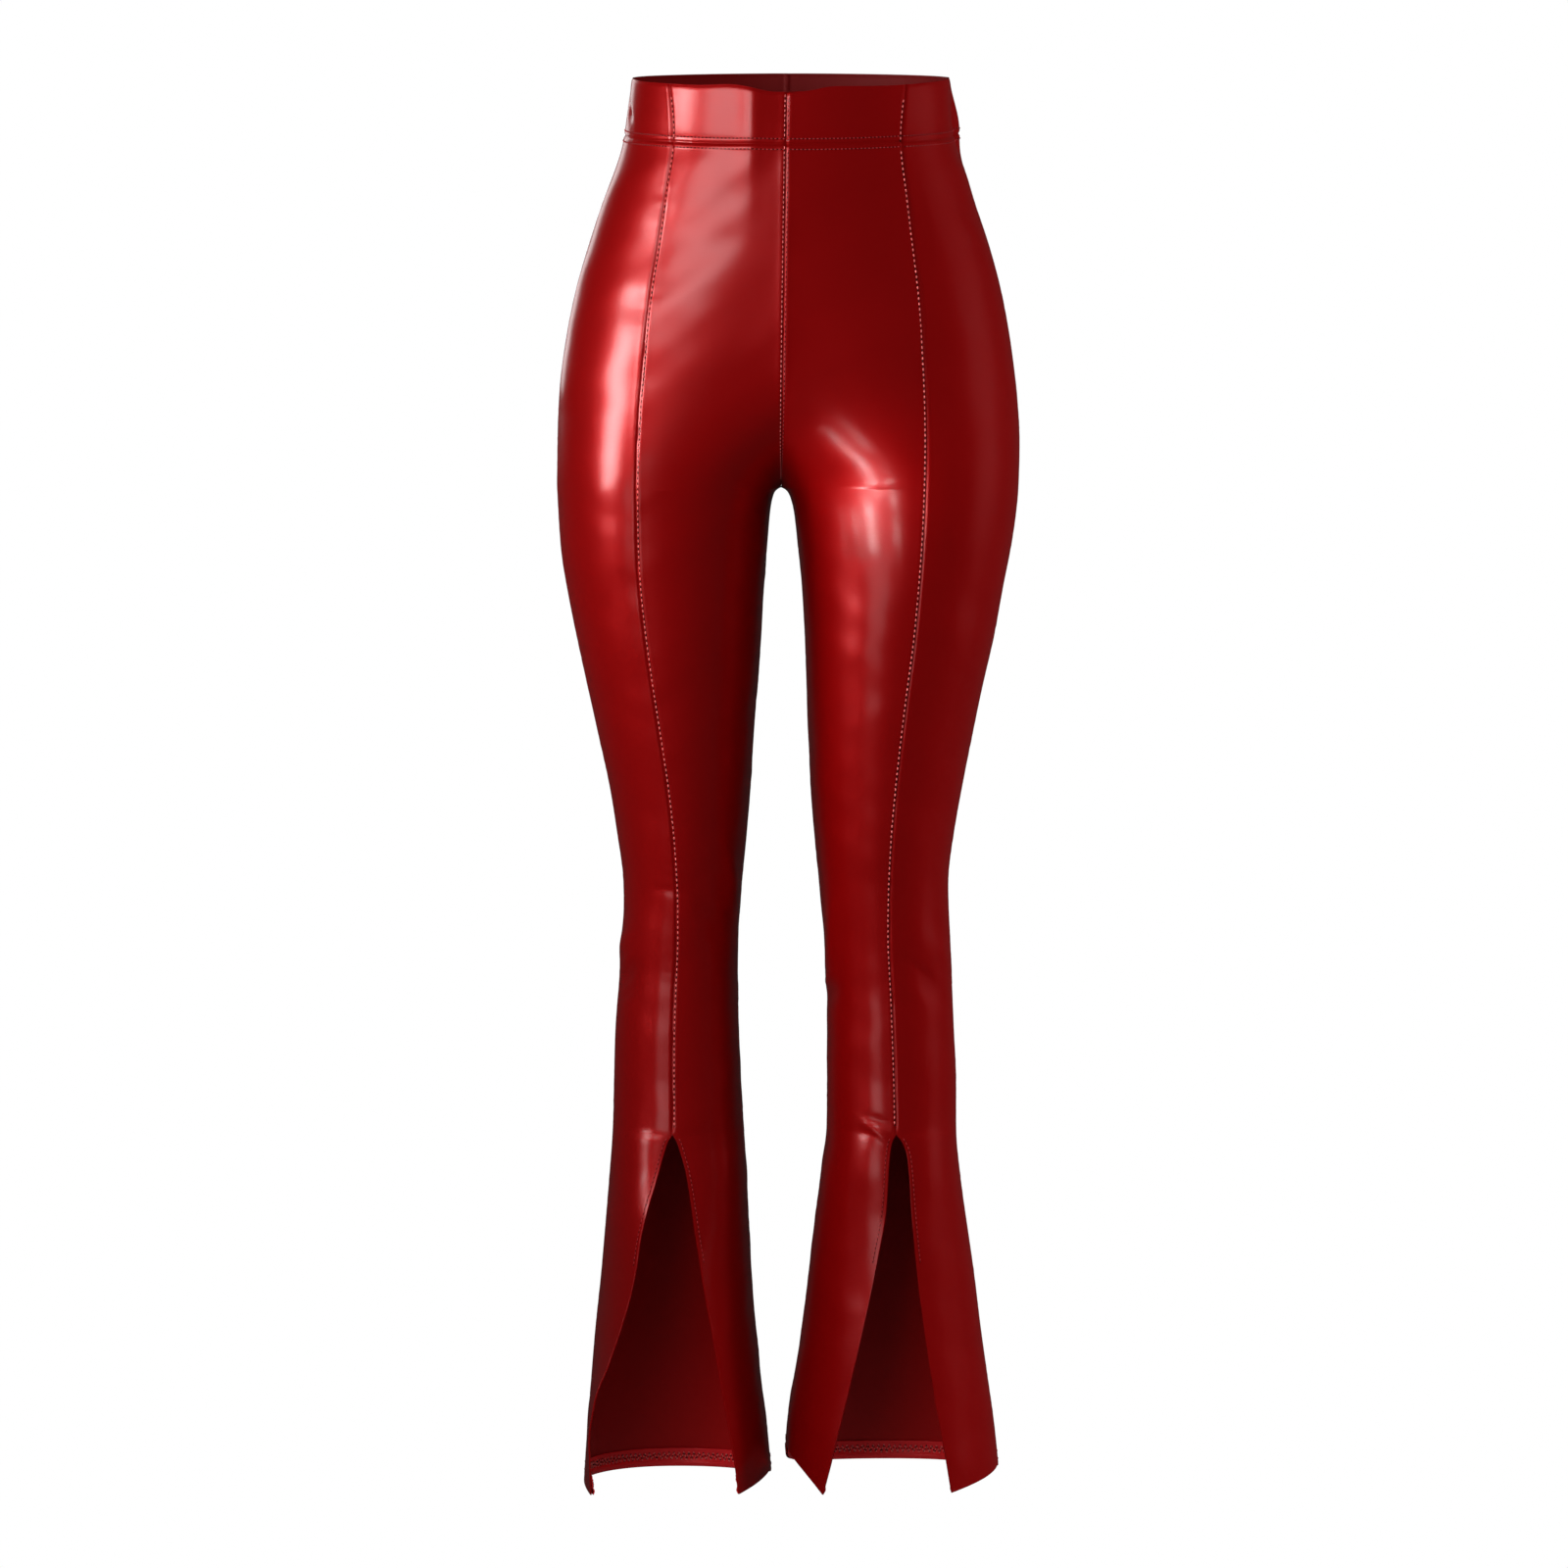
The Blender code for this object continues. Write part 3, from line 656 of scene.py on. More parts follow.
    def centre_ridge(self, across: np.ndarray, height: np.ndarray) -> np.ndarray:
        """Lift of the belly towards the front seam, where its two halves meet at an angle.

        Args:
            across: distances outwards from the centre seam.
            height: millimetres from the origin.

        Returns:
            How far the cloth lies outwards.
        """
        rises = ease((height - self.crotch - self.ridge_start) / self.ridge_rise)
        fades = mix(1.0, self.ridge_at_waist, ease((height + self.ridge_fade) / self.ridge_fade))
        return self.ridge_lift * np.exp(-np.maximum(across, 0) / self.ridge_width) * (rises * fades)

    def waist_seam(self, region: Region, share: np.ndarray) -> np.ndarray:
        """Heights of the seam under the waistband.

        Args:
            region: the panel's stretch round the leg.
            share: share of the way across it.

        Returns:
            Heights in millimetres.
        """
        if region is Region.BACK:
            return mix(self.waist_seam_side, self.waist_seam_back, np.sin(math.pi / 2 * share))
        round_front = share / 2 if region is Region.FRONT_SIDE else 1 - share / 2
        return mix(self.waist_seam_side, self.waist_seam_front, np.sin(math.pi / 2 * round_front))

    def top_edge(self, region: Region, share: np.ndarray) -> np.ndarray:
        """Heights of the waistband's upper edge, which waves a little at the front.

        Args:
            region: the panel's stretch round the leg.
            share: share of the way across it.

        Returns:
            Heights in millimetres.
        """
        height = self.waist_seam(region, share) + self.band_height
        if region is Region.BACK:
            return height
        return height + self.top_wave.at(self.placed(region, share, height)[..., 0])

    def hem_edge(self, region: Region, share: np.ndarray) -> np.ndarray:
        """Heights of the leg's lower edge.

        Args:
            region: the panel's stretch round the leg.
            share: share of the way across it.

        Returns:
            Heights in millimetres.
        """
        share = np.clip(share, 0.0, 1.0)
        if region is Region.FRONT:
            return mix(self.hem.inner_side, self.hem.slit, share ** self.hem_drop)
        if region is Region.FRONT_SIDE:
            return mix(self.hem.outer_side, self.hem.slit, share ** self.hem_drop)
        side = mix(self.hem.outer_side, self.hem.inner_side, share)
        return mix(side, self.hem.back, np.sin(math.pi * share) ** self.back_drop)

    def panel_height(self, region: Region, share: np.ndarray, level: np.ndarray) -> np.ndarray:
        """Heights of a level, which follows the waist at the top and the hem at the bottom.

        Args:
            region: the panel's stretch round the leg.
            share: share of the way across it.
            level: its height at the side seam, before the hem's slant.

        Returns:
            Heights in millimetres.
        """
        waist = self.waist_seam(region, share) - self.seam_gap / 2 - self.waist_seam_side
        hem = self.hem_edge(region, share) - self.hem_level
        tilt_span = self.waist_seam_side - self.waist_tilt_end
        from_waist = ease((level - self.waist_tilt_end) / tilt_span)
        to_hem = ease((self.slit_top - level) / (self.slit_top - self.hem_level))
        return level + waist * from_waist + hem * to_hem


@dataclass(frozen=True)
class CoatedCloth:
    """Faux leather: a thin glossy coating over a dark red stretch cloth."""

    name: str = "coated_cloth"
    deep: tuple = (0.30, 0.0008, 0.0012)
    bright: tuple = (0.35, 0.0014, 0.0018)
    metallic: float = 0.5
    roughness: float = 0.38
    roughness_spread: float = 0.04
    coat: float = 0.8
    coat_roughness: float = 0.22
    grain: float = 0.24
    pores: float = 0.15
    patch_scale: float = 9.0
    gloss_scale: float = 21.0
    gloss_stretch: tuple = (1, 1, 3)
    grain_scale: tuple = (170.0, 170.0, 850.0)
    pore_scale: float = 1200.0

    def make(self) -> bpy.types.Material:
        """Material with soft patches of colour and gloss, a level grain and fine pores."""
        material, tree, shader = start_finish(self.name)
        shader.inputs["Metallic"].default_value = self.metallic
        shader.inputs["Specular IOR Level"].default_value = 0.0
        shader.inputs["Coat Weight"].default_value = self.coat
        shader.inputs["Coat Roughness"].default_value = self.coat_roughness
        place = tree.nodes.new("ShaderNodeTexCoord").outputs["Object"]
        patches = noise(tree, place, (1, 1, 1), self.patch_scale, detail=3.0)
        ramp = tree.nodes.new("ShaderNodeMix")
        ramp.data_type = "RGBA"
        ramp.inputs[6].default_value = (*self.deep, 1)
        ramp.inputs[7].default_value = (*self.bright, 1)
        tree.links.new(patches, ramp.inputs[0])
        tree.links.new(ramp.outputs[2], shader.inputs["Base Color"])
        gloss = tree.nodes.new("ShaderNodeMapRange")
        gloss.inputs["To Min"].default_value = self.roughness - self.roughness_spread
        gloss.inputs["To Max"].default_value = self.roughness + self.roughness_spread
        shine = noise(tree, place, self.gloss_stretch, self.gloss_scale, detail=4.0)
        tree.links.new(shine, gloss.inputs["Value"])
        tree.links.new(gloss.outputs["Result"], shader.inputs["Roughness"])
        grain = noise(tree, place, self.grain_scale, 1.0, detail=3.0)
        pores = noise(tree, place, (1, 1, 1), self.pore_scale, detail=2.0)
        rough = bump(tree, pores, self.pores)
        tree.links.new(bump(tree, grain, self.grain, rough), shader.inputs["Normal"])
        return material


@dataclass(frozen=True)
class Backing:
    """The knitted inner face of the cloth, dark and dull."""

    name: str = "cloth_backing"
    colour: tuple = (0.33, 0.001, 0.0014)
    roughness: float = 0.7
    sheen_level: float = 0.25
    knit: float = 0.3
    knit_scale: tuple = (900.0, 900.0, 1500.0)

    def make(self) -> bpy.types.Material:
        """Material with the fine courses of a knit."""
        material, tree, shader = start_finish(self.name)
        shader.inputs["Base Color"].default_value = (*self.colour, 1)
        shader.inputs["Roughness"].default_value = self.roughness
        shader.inputs["Specular IOR Level"].default_value = self.sheen_level
        place = tree.nodes.new("ShaderNodeTexCoord").outputs["Object"]
        courses = noise(tree, place, self.knit_scale, 1.0, detail=1.0)
        tree.links.new(bump(tree, courses, self.knit), shader.inputs["Normal"])
        return material


@dataclass(frozen=True)
class Thread:
    """Sewing thread, twisted and slightly shiny."""

    name: str = "thread"
    colour: tuple = (0.95, 0.19, 0.18)
    roughness: float = 0.38
    metallic: float = 0.3
    twist: float = 0.25
    twist_scale: float = 3000.0

    def make(self) -> bpy.types.Material:
        """Material with the bump of a twisted yarn."""
        material, tree, shader = start_finish(self.name)
        shader.inputs["Base Color"].default_value = (*self.colour, 1)
        shader.inputs["Roughness"].default_value = self.roughness
        shader.inputs["Metallic"].default_value = self.metallic
        place = tree.nodes.new("ShaderNodeTexCoord").outputs["Object"]
        yarn = noise(tree, place, (1, 1, 1), self.twist_scale, detail=1.0)
        tree.links.new(bump(tree, yarn, self.twist), shader.inputs["Normal"])
        return material


def start_finish(name: str) -> tuple[bpy.types.Material, bpy.types.NodeTree, bpy.types.Node]:
    """Make a plain material.

    Args:
        name: the material's name.

    Returns:
        The material, its nodes and its shader.
    """
    material = bpy.data.materials.new(name)
    material.use_nodes = True
    return material, material.node_tree, material.node_tree.nodes["Principled BSDF"]


def noise(tree: bpy.types.NodeTree, place: bpy.types.NodeSocket, stretch: tuple, scale: float,
          detail: float) -> bpy.types.NodeSocket:
    """Add a noise pattern.

    Args:
        tree: the material's nodes.
        place: socket with the coordinates.
        stretch: scale along each axis before the noise.
        scale: the noise's own scale, per metre.
        detail: its octaves.

    Returns:
        Socket with the pattern, between 0 and 1.
    """
    mapping = tree.nodes.new("ShaderNodeMapping")
    mapping.inputs["Scale"].default_value = stretch
    pattern = tree.nodes.new("ShaderNodeTexNoise")
    pattern.inputs["Scale"].default_value = scale
    pattern.inputs["Detail"].default_value = detail
    tree.links.new(place, mapping.inputs["Vector"])
    tree.links.new(mapping.outputs["Vector"], pattern.inputs["Vector"])
    return pattern.outputs["Fac"]


def bump(tree: bpy.types.NodeTree, pattern: bpy.types.NodeSocket, strength: float,
         over: bpy.types.NodeSocket | None = None) -> bpy.types.NodeSocket:
    """Add relief from a pattern.

    Args:
        tree: the material's nodes.
        pattern: socket with the heights.
        strength: of the relief, whose full height is BUMP_HEIGHT.
        over: socket with the normals of relief that lies beneath, if any.

    Returns:
        Socket with the normals.
    """
    node = tree.nodes.new("ShaderNodeBump")
    node.inputs["Strength"].default_value = strength
    node.inputs["Distance"].default_value = BUMP_HEIGHT
    tree.links.new(pattern, node.inputs["Height"])
    if over is not None:
        tree.links.new(over, node.inputs["Normal"])
    return node.outputs["Normal"]


def sheet_object(name: str, points: np.ndarray, flip: bool, materials: list) -> bpy.types.Object:
    """Shape a grid into a sheet of cloth.

    Args:
        name: the piece's name.
        points: rows of points in millimetres, from the lowest row up.
        flip: whether the grid's faces have to be turned over to point outwards.
        materials: material of the outer face, then of the inner one.

    Returns:
        The new object, at the origin.
    """
    rows, columns = points.shape[:2]
    grid = bmesh.new()
    bmesh.ops.create_grid(grid, x_segments=columns - 1, y_segments=rows - 1, size=0.5)
    for vert in grid.verts:
        row = round((vert.co.y + 0.5) * (rows - 1))
        column = round((vert.co.x + 0.5) * (columns - 1))
        vert.co = points[row, column] * MM
    if flip:
        bmesh.ops.reverse_faces(grid, faces=grid.faces[:])
    mesh = bpy.data.meshes.new(name)
    grid.to_mesh(mesh)
    grid.free()
    mesh.shade_smooth()
    for material in materials:
        mesh.materials.append(material)
    piece = bpy.data.objects.new(name, mesh)
    bpy.context.collection.objects.link(piece)
    return piece


def give_wall(piece: bpy.types.Object, thickness: float, edge: float) -> None:
    """Give a sheet its thickness inwards and round the rims.

    Args:
        piece: the sheet.
        thickness: of the wall, in millimetres.
        edge: radius of the rims' rounding, in millimetres.
    """
    wall = piece.modifiers.new("wall", "SOLIDIFY")
    wall.thickness = thickness * MM
    wall.offset = -1
    wall.use_rim = True
    wall.material_offset = 1
    rounding = piece.modifiers.new("rims", "BEVEL")
    rounding.width = edge * MM
    rounding.segments = 2
    rounding.limit_method = "ANGLE"
    rounding.angle_limit = math.radians(60)


def spread(width: np.ndarray, count: int, fine: tuple = FINE) -> np.ndarray:
    """Shares of a row's points, close together at both ends.

    Args:
        width: widths of the rows.
        count: number of even steps between the fine ones.
        fine: distances of the points nearest to an end.

    Returns:
        One row of shares for each width.
    """
    near = np.array(fine)[None, :] / width[:, None]
    middle = mix(near[:, -1:], 1 - near[:, -1:], np.linspace(0, 1, count + 1)[None, 1:-1])
    return np.concatenate([near, middle, 1 - near[:, ::-1]], axis=1)


@dataclass(frozen=True)
class Cut:
    """Flat sizes of a region's pieces in metres, and the columns of their meshes."""

    width: float
    length: float
    area: float
    band_width: float
    band_area: float
    turning_width: float
    columns: int


@dataclass
class ClothPiece:
    """A piece of cloth on one region of a leg."""

    leg: Leg
    region: Region
    cut: Cut
    kind: str = "piece"
    cloth: float = 1.2
    rim: float = 0.35
    waist_run: float = 120.0

    @property
    def name(self) -> str:
        """Name of the piece."""
        return f"{self.kind}_{self.region.value}_{self.leg.side.label}"

    def seam_seeds(self) -> list[int]:
        """Seeds of the puckers at the first and the last seam, which the neighbours share."""
        seeds = {Region.FRONT: (1, 2), Region.FRONT_SIDE: (3, 2), Region.BACK: (3, 1)}[self.region]
        return [seed + LEFT_SEED * (self.leg.side is Side.LEFT) for seed in seeds]

    def waist_relief(self, distance: np.ndarray, share: np.ndarray) -> np.ndarray:
        """Lift at distances from the waist seam, at shares of the way along it."""
        return self.leg.seam_relief(distance, share * self.waist_run, self.seam_seeds()[0] + WAIST_SEED)

    def shell(self, points: np.ndarray, materials: list) -> bpy.types.Object:
        """Make the piece's cloth from its outer face.

        Args:
            points: rows of points in millimetres, from the lowest row up.
            materials: material of the outer face, then of the inner one.

        Returns:
            The piece's object.
        """
        flip = self.leg.side.value * self.region.facing < 0
        piece = sheet_object(self.name, points, flip, materials)
        give_wall(piece, self.cloth, self.rim)
        LOG.info("%s: %d rows of %d points", self.name, *points.shape[:2])
        return piece


@dataclass
class Panel(ClothPiece):
    """One panel of a leg, from the waist seam to the hem."""

    kind: str = "panel"
    seam_end: float = 4.0
    wander: float = 0.35
    wander_length: float = 70.0
    wander_count: int = 5
    wander_spread: float = 0.45
    wander_turn: float = 0.5
    wander_lean: float = 1.5
    wander_start: float = 12.0

    def levels(self) -> np.ndarray:
        """Levels of the rows from the hem up, close together at both ends."""
        runs = [np.arange(run.top, run.bottom, -run.spacing) for run in ROW_RUNS]
        top, bottom = ROW_RUNS[0].top, ROW_RUNS[-1].bottom
        levels = np.concatenate(runs)
        inside = levels[(levels < top - FINE[-1] - 1) & (levels > bottom + FINE[-1] + 1)]
        fine = np.array(FINE) - FINE[0]
        return np.concatenate([bottom + fine, inside[::-1], (top - fine)[::-1]])

    def points(self) -> np.ndarray:
        """Points of the outer face, in rows from the hem up."""
        levels = self.levels()
        width = self.leg.width(self.region, levels)
        share = spread(width, self.cut.columns)
        level = np.repeat(levels[:, None], share.shape[1], axis=1)
        height = self.leg.panel_height(self.region, share, level)
        return self.leg.skin(self.region, share, height, self.relief(share, height, level, width))

    def relief(self, share: np.ndarray, height: np.ndarray, level: np.ndarray,
               width: np.ndarray) -> np.ndarray:
        """Outward lift from the seams and the cloth's own slackness.

        Args:
            share: share of the way across the panel.
            height: millimetres from the origin.
            level: levels of the points' rows.
            width: widths of the rows.

        Returns:
            How far each point lies outwards.
        """
        first, second = share * width[:, None], (1 - share) * width[:, None]
        seeds = self.seam_seeds()
        lift = self.leg.seam_relief(first, height, seeds[0])
        closed = ease((height - self.leg.slit_top) / self.seam_end) if self.region is not Region.BACK else 1.0
        lift = lift + self.leg.seam_relief(second, height, seeds[1]) * closed
        lift = lift + self.waist_relief(ROW_RUNS[0].top - level, share)
        return lift + self.wander * self.slack(first, height, seeds[0] + SLACK_SEED)

    def slack(self, across: np.ndarray, height: np.ndarray, seed: int) -> np.ndarray:
        """Slow unevenness of cloth under light tension.

        Args:
            across: distances from the panel's first seam.
            height: millimetres from the origin.
            seed: of the waves' directions and phases.

        Returns:
            Heights of the waves, about 1 at most.
        """
        rng = np.random.default_rng(seed)
        total = np.zeros_like(height)
        for order in range(self.wander_count):
            length = self.wander_length / (1 + self.wander_spread * order)
            turn, phase = rng.uniform(-self.wander_turn, self.wander_turn), rng.uniform(0, math.tau)
            run = height * math.cos(turn) + across * math.sin(turn) * self.wander_lean
            total += np.sin(run * math.tau / length + phase) / (1 + order)
        return total * ease(across / self.wander_start) / 2

    def build(self, outer: bpy.types.Material, inner: bpy.types.Material) -> bpy.types.Object:
        """Args:
            outer: material of the coated face.
            inner: material of the backing.

        Returns:
            The panel's object.
        """
        piece = self.shell(self.points(), [outer, inner])
        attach(piece, BODY)
        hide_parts(f"{self.region.value}_{self.leg.side.label}")
        return piece


@dataclass
class BandPiece(ClothPiece):
    """The doubled piece of the waistband above one panel."""

    kind: str = "waistband"
    cloth: float = 2.0
    rim: float = 0.7
    rows: int = 14
    roll: float = 0.5
    roll_reach: float = 1.3

    def points(self) -> np.ndarray:
        """Points of the outer face, in rows from the seam up."""
        leg, region = self.leg, self.region
        start = np.array([leg.waist_seam_side])
        width = leg.width(region, start)
        up = spread(np.array([leg.band_height]), self.rows)[0]
        share, up = np.broadcast_arrays(spread(width, self.cut.columns), up[:, None])
        bottom = leg.waist_seam(region, share) + leg.seam_gap / 2
        height = mix(bottom, leg.top_edge(region, share), up)
        seeds = self.seam_seeds()
        lift = leg.seam_relief(share * width[0], height, seeds[0])
        lift = lift + leg.seam_relief((1 - share) * width[0], height, seeds[1])
        lift = lift + self.waist_relief(up * leg.band_height, share)
        from_top = (1 - up) * leg.band_height
        lift = lift - self.roll * np.exp(-(from_top / self.roll_reach) ** 2)
        return leg.skin(region, share, height, lift)

    def build(self, outer: bpy.types.Material, inner: bpy.types.Material) -> bpy.types.Object:
        """Args:
            outer: material of the coated face.
            inner: material of the backing, for the waistband a darker copy that paints its shade.

        Returns:
            The piece's object.
        """
        piece = self.shell(self.points(), [outer, inner])
        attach(piece, BODY)
        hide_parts(f"band_{self.region.value}_{self.leg.side.label}")
        return piece


@dataclass
class HemTurning(ClothPiece):
    """Cloth turned up inside a panel's hem, coated face inwards."""

    kind: str = "turning"
    cloth: float = 0.9
    rim: float = 0.3
    height: float = 14.0
    loft: float = 0.45
    end: float = 1.6
    rows: int = 12
    roll: float = 1.3
    roll_height: float = 2.4
    roll_reach: float = 1.9

    def points(self) -> np.ndarray:
        """Points of the turning's outer face, in rows from the hem up."""
        leg, region = self.leg, self.region
        width = leg.width(region, np.array([leg.hem_level]))
        share = spread(width, self.cut.columns, tuple(self.end + step for step in FINE))
        up = np.linspace(0, 1, self.rows + 1)
        share, up = np.broadcast_arrays(share, up[:, None])
        height = leg.hem_edge(region, share) + self.height * up
        rise = (self.height * up - self.roll_height) / self.roll_reach
        lift = -(Panel.cloth + self.loft + self.roll * np.exp(-rise**2))
        return leg.skin(region, share, height, lift)

    def build(self, coated: bpy.types.Material) -> bpy.types.Object:
        """Args:
            coated: material of both faces, a paler copy of the coated cloth that paints light on the turning.

        Returns:
            The turning's object.
        """
        piece = self.shell(self.points(), [coated, coated])
        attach(piece, BODY)
        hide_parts(f"hem_{self.region.value}_{self.leg.side.label}")
        return piece


class LaidRow(NamedTuple):
    """Thread of a row and the 3 x 4 placing matrices of its stitches and needle holes."""

    tone: Tone
    stitches: np.ndarray
    holes: np.ndarray


@dataclass
class StitchRow:
    """A row of stitches, each a bead of thread, with a needle hole after each, a dark bead that paints the
    hole's shade.
    """

    pitch: float = 4.0
    length: float = 2.4
    thickness: float = 1.15
    stand: float = 0.2
    hole: float = 1.6
    tone: Tone = Tone.BRIGHT
    hole_share: float = 0.9
    hole_stand: float = 0.05
    look: float = 0.5

    def lay(self, path: np.ndarray, out: np.ndarray) -> LaidRow:
        """Lay the row's stitches along a path.

        Args:
            path: points along the row, in millimetres.
            out: outward directions at those points.

        Returns:
            The row's stitches and the needle holes between them.
        """
        steps = np.linalg.norm(np.diff(path, axis=0), axis=1)
        run = np.concatenate([[0], np.cumsum(steps)])
        places = np.arange(self.pitch / 2, run[-1] - self.pitch / 2, self.pitch)
        half = self.thickness / 2
        beads = self.place_at(places, run, path, out, (self.length / 2, half, half), self.stand)
        size = (self.hole / 2, half * self.hole_share, half * self.hole_share)
        holes = self.place_at(places + self.pitch / 2, run, path, out, size, self.hole_stand)
        return LaidRow(self.tone, beads, holes)

    def place_at(self, places: np.ndarray, run: np.ndarray, path: np.ndarray, out: np.ndarray,
                 size: tuple, stand: float) -> np.ndarray:
        """Placing matrices of beads of one size at distances along a path.

        Args:
            places: distances of the beads.
            run: distances of the path's points.
            path: the path's points.
            out: outward directions there.
            size: half sizes along, across and outwards.
            stand: height of the beads' middles over the path.

        Returns:
            One 3 x 4 matrix for each bead.
        """
        middle, ahead, behind, up = (
            np.stack([np.interp(places + shift, run, rows[:, i]) for i in range(3)], axis=1)
            for shift, rows in ((0, path), (self.look, path), (-self.look, path), (0, out))
        )
        along = unit(ahead - behind)
        side = unit(np.cross(up, along))
        lift = np.cross(along, side)
        columns = (along * size[0], side * size[1], lift * size[2], middle + lift * stand)
        return np.stack(columns, axis=2)


def sew(name: str, rows: list[LaidRow], materials: list) -> bpy.types.Object:
    """Join all the stitches and needle holes of a piece into one mesh.

    Args:
        name: the piece's name.
        rows: the laid rows.
        materials: the threads' materials in the order of Tone, then the needle holes' near-black one, painted
            shade.

    Returns:
        The new object, at the origin.
    """
    bead = bmesh.new()
    bmesh.ops.create_uvsphere(bead, u_segments=5, v_segments=4, radius=1.0)
    # The sphere's poles are turned to the ends of the stitch.
    corners = np.array([vert.co for vert in bead.verts])[:, [2, 0, 1]]
    # The operator's own order of the faces varies from run to run.
    faces = sorted([vert.index for vert in face.verts] for face in bead.faces)
    bead.free()
    groups = [np.concatenate([row.stitches for row in rows if row.tone is tone]) for tone in Tone]
    groups.append(np.concatenate([row.holes for row in rows]))
    placing = np.concatenate(groups)
    points = np.einsum("sij,vj->svi", placing[:, :, :3], corners) + placing[:, None, :, 3]
    count = len(corners)
    all_faces = [[corner + count * i for corner in face] for i in range(len(placing)) for face in faces]
    mesh = bpy.data.meshes.new(name)
    mesh.from_pydata((points.reshape(-1, 3) * MM).tolist(), [], all_faces)
    mesh.shade_smooth()
    for material in materials:
        mesh.materials.append(material)
    kinds = np.repeat(np.arange(len(groups)), [len(group) * len(faces) for group in groups])
    mesh.polygons.foreach_set("material_index", kinds.astype(np.int32))
    piece = bpy.data.objects.new(name, mesh)
    bpy.context.collection.objects.link(piece)
    LOG.info("%s: %d stitches", name, len(placing) // 2)
    return piece


@dataclass
class Stitching:
    """All the stitches of one leg, sewn row by row on the panels' surface."""

    leg: Leg
    seam_stitch: StitchRow = field(default_factory=StitchRow)
    centre_stitch: StitchRow = field(default_factory=lambda: StitchRow(
        pitch=3.6, length=2.2, thickness=0.85, stand=0.1, hole=1.3))
    cover_stitch: StitchRow = field(default_factory=lambda: StitchRow(
        pitch=3.0, length=1.6, thickness=1.1, stand=0.15, hole=1.4, tone=Tone.TONAL))
    slit_stitch: StitchRow = field(default_factory=lambda: StitchRow(
        pitch=3.5, length=2.1, thickness=0.7, stand=0.05, hole=1.2, tone=Tone.TONAL))
    loop_stitch: StitchRow = field(default_factory=lambda: StitchRow(
        pitch=3.0, length=1.8, thickness=1.2, stand=0.35, hole=1.2))
    # Distances of the rows from their seams and edges.
    beside_seam: float = 1.3
    beside_waist: float = 3.9
    beside_slit: float = 3.0
    hem_rows: tuple = (5.0, 11.0)
    # Where the rows down the front start and end.
    below_top: float = 5.0
    below_waist: float = 1.0
    above_waist: float = 1.5
    above_crotch: float = 6.0
    above_slit: float = 2.0
    below_slit: float = 3.0
    slit_sewn_to: float = -862.0
    # How far rows on open cloth lie over its smooth surface.
    cover_lift: float = 0.1
    hem_lift: float = 0.05
    # The loops inside the hem.
    loop_width: float = 2.2
    loop_margin: float = 0.02
    loop_points: int = 5
    loop_stand: float = 0.1
    # Steps of the paths.
    path_step: float = 1.5
    path_margin: float = 0.004
    path_points: int = 120

    def path_down(self, region: Region, offset: float, from_end: bool, high: float,
                  low: float) -> tuple[np.ndarray, np.ndarray]:
        """Path beside one of a panel's seams.

        Args:
            region: the panel.
            offset: distance from its seam.
            from_end: whether that is its last seam rather than its first.
            high: height of the path's start.
            low: height of its end.

        Returns:
            Points and outward directions, from the top down.
        """
        heights = np.arange(high, low, -self.path_step)
        share = offset / self.leg.width(region, heights)
        share = 1 - share if from_end else share
        return self.on_skin(region, share, heights, self.leg.seam_profile(offset))

    def on_skin(self, region: Region, share: np.ndarray, height: np.ndarray,
                lift: float) -> tuple[np.ndarray, np.ndarray]:
        """Points on the cloth.

        Args:
            region: the panel.
            share: share of the way across it.
            height: millimetres from the origin.
            lift: distance outwards from the smooth surface.

        Returns:
            Points and their outward directions.
        """
        lifts = np.full(np.broadcast(share, height).shape, lift)
        share, height = np.broadcast_arrays(share, height)
        return self.leg.skin(region, share, height, lifts), self.leg.normals(region, share, height)

    def across(self, region: Region, heights_of: Callable[[Region, np.ndarray], np.ndarray],
               rise: float, lift: float) -> tuple[np.ndarray, np.ndarray]:
        """Path across a panel at one distance from a seam or an edge.

        Args:
            region: the panel.
            heights_of: gives the heights of that seam or edge.
            rise: distance above it.
            lift: distance outwards from the smooth surface.

        Returns:
            Points and their outward directions.
        """
        share = np.linspace(self.path_margin, 1 - self.path_margin, self.path_points)
        return self.on_skin(region, share, heights_of(region, share) + rise, lift)

    def build(self, materials: list) -> bpy.types.Object:
        """Args:
            materials: the threads' materials in the order of Tone, then the needle holes' near-black one,
                painted shade.

        Returns:
            The stitches' object.
        """
        rows = self.front_rows()
        for region in Region:
            rows += self.round_rows(region)
        rows += self.slit_rows()
        piece = sew(f"stitching_{self.leg.side.label}", rows, materials)
        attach(piece, BODY)
        return piece

    def front_rows(self) -> list[LaidRow]:
        """Rows beside the centre front and princess seams, also on the waistband.

        Returns:
            The rows, which the left leg has half a stitch lower, tonal at the centre.
        """
        leg = self.leg
        is_left = leg.side is Side.LEFT
        centre_stitch = replace(self.centre_stitch, tone=Tone.TONAL if is_left else Tone.BRIGHT)
        turn = self.seam_stitch.pitch / 2 if is_left else 0.0
        band_start = leg.waist_seam_front + leg.band_height - self.below_top - turn
        band_end = leg.waist_seam_front + self.above_waist
        start = leg.waist_seam_front - self.below_waist - turn
        rows = []
        for stitch, from_end, end in (
            (centre_stitch, False, leg.crotch + self.above_crotch),
            (self.seam_stitch, True, leg.slit_top + self.above_slit),
        ):
            for high, low in ((start, end), (band_start, band_end)):
                path = self.path_down(Region.FRONT, self.beside_seam, from_end, high, low)
                rows.append(stitch.lay(*path))
        return rows

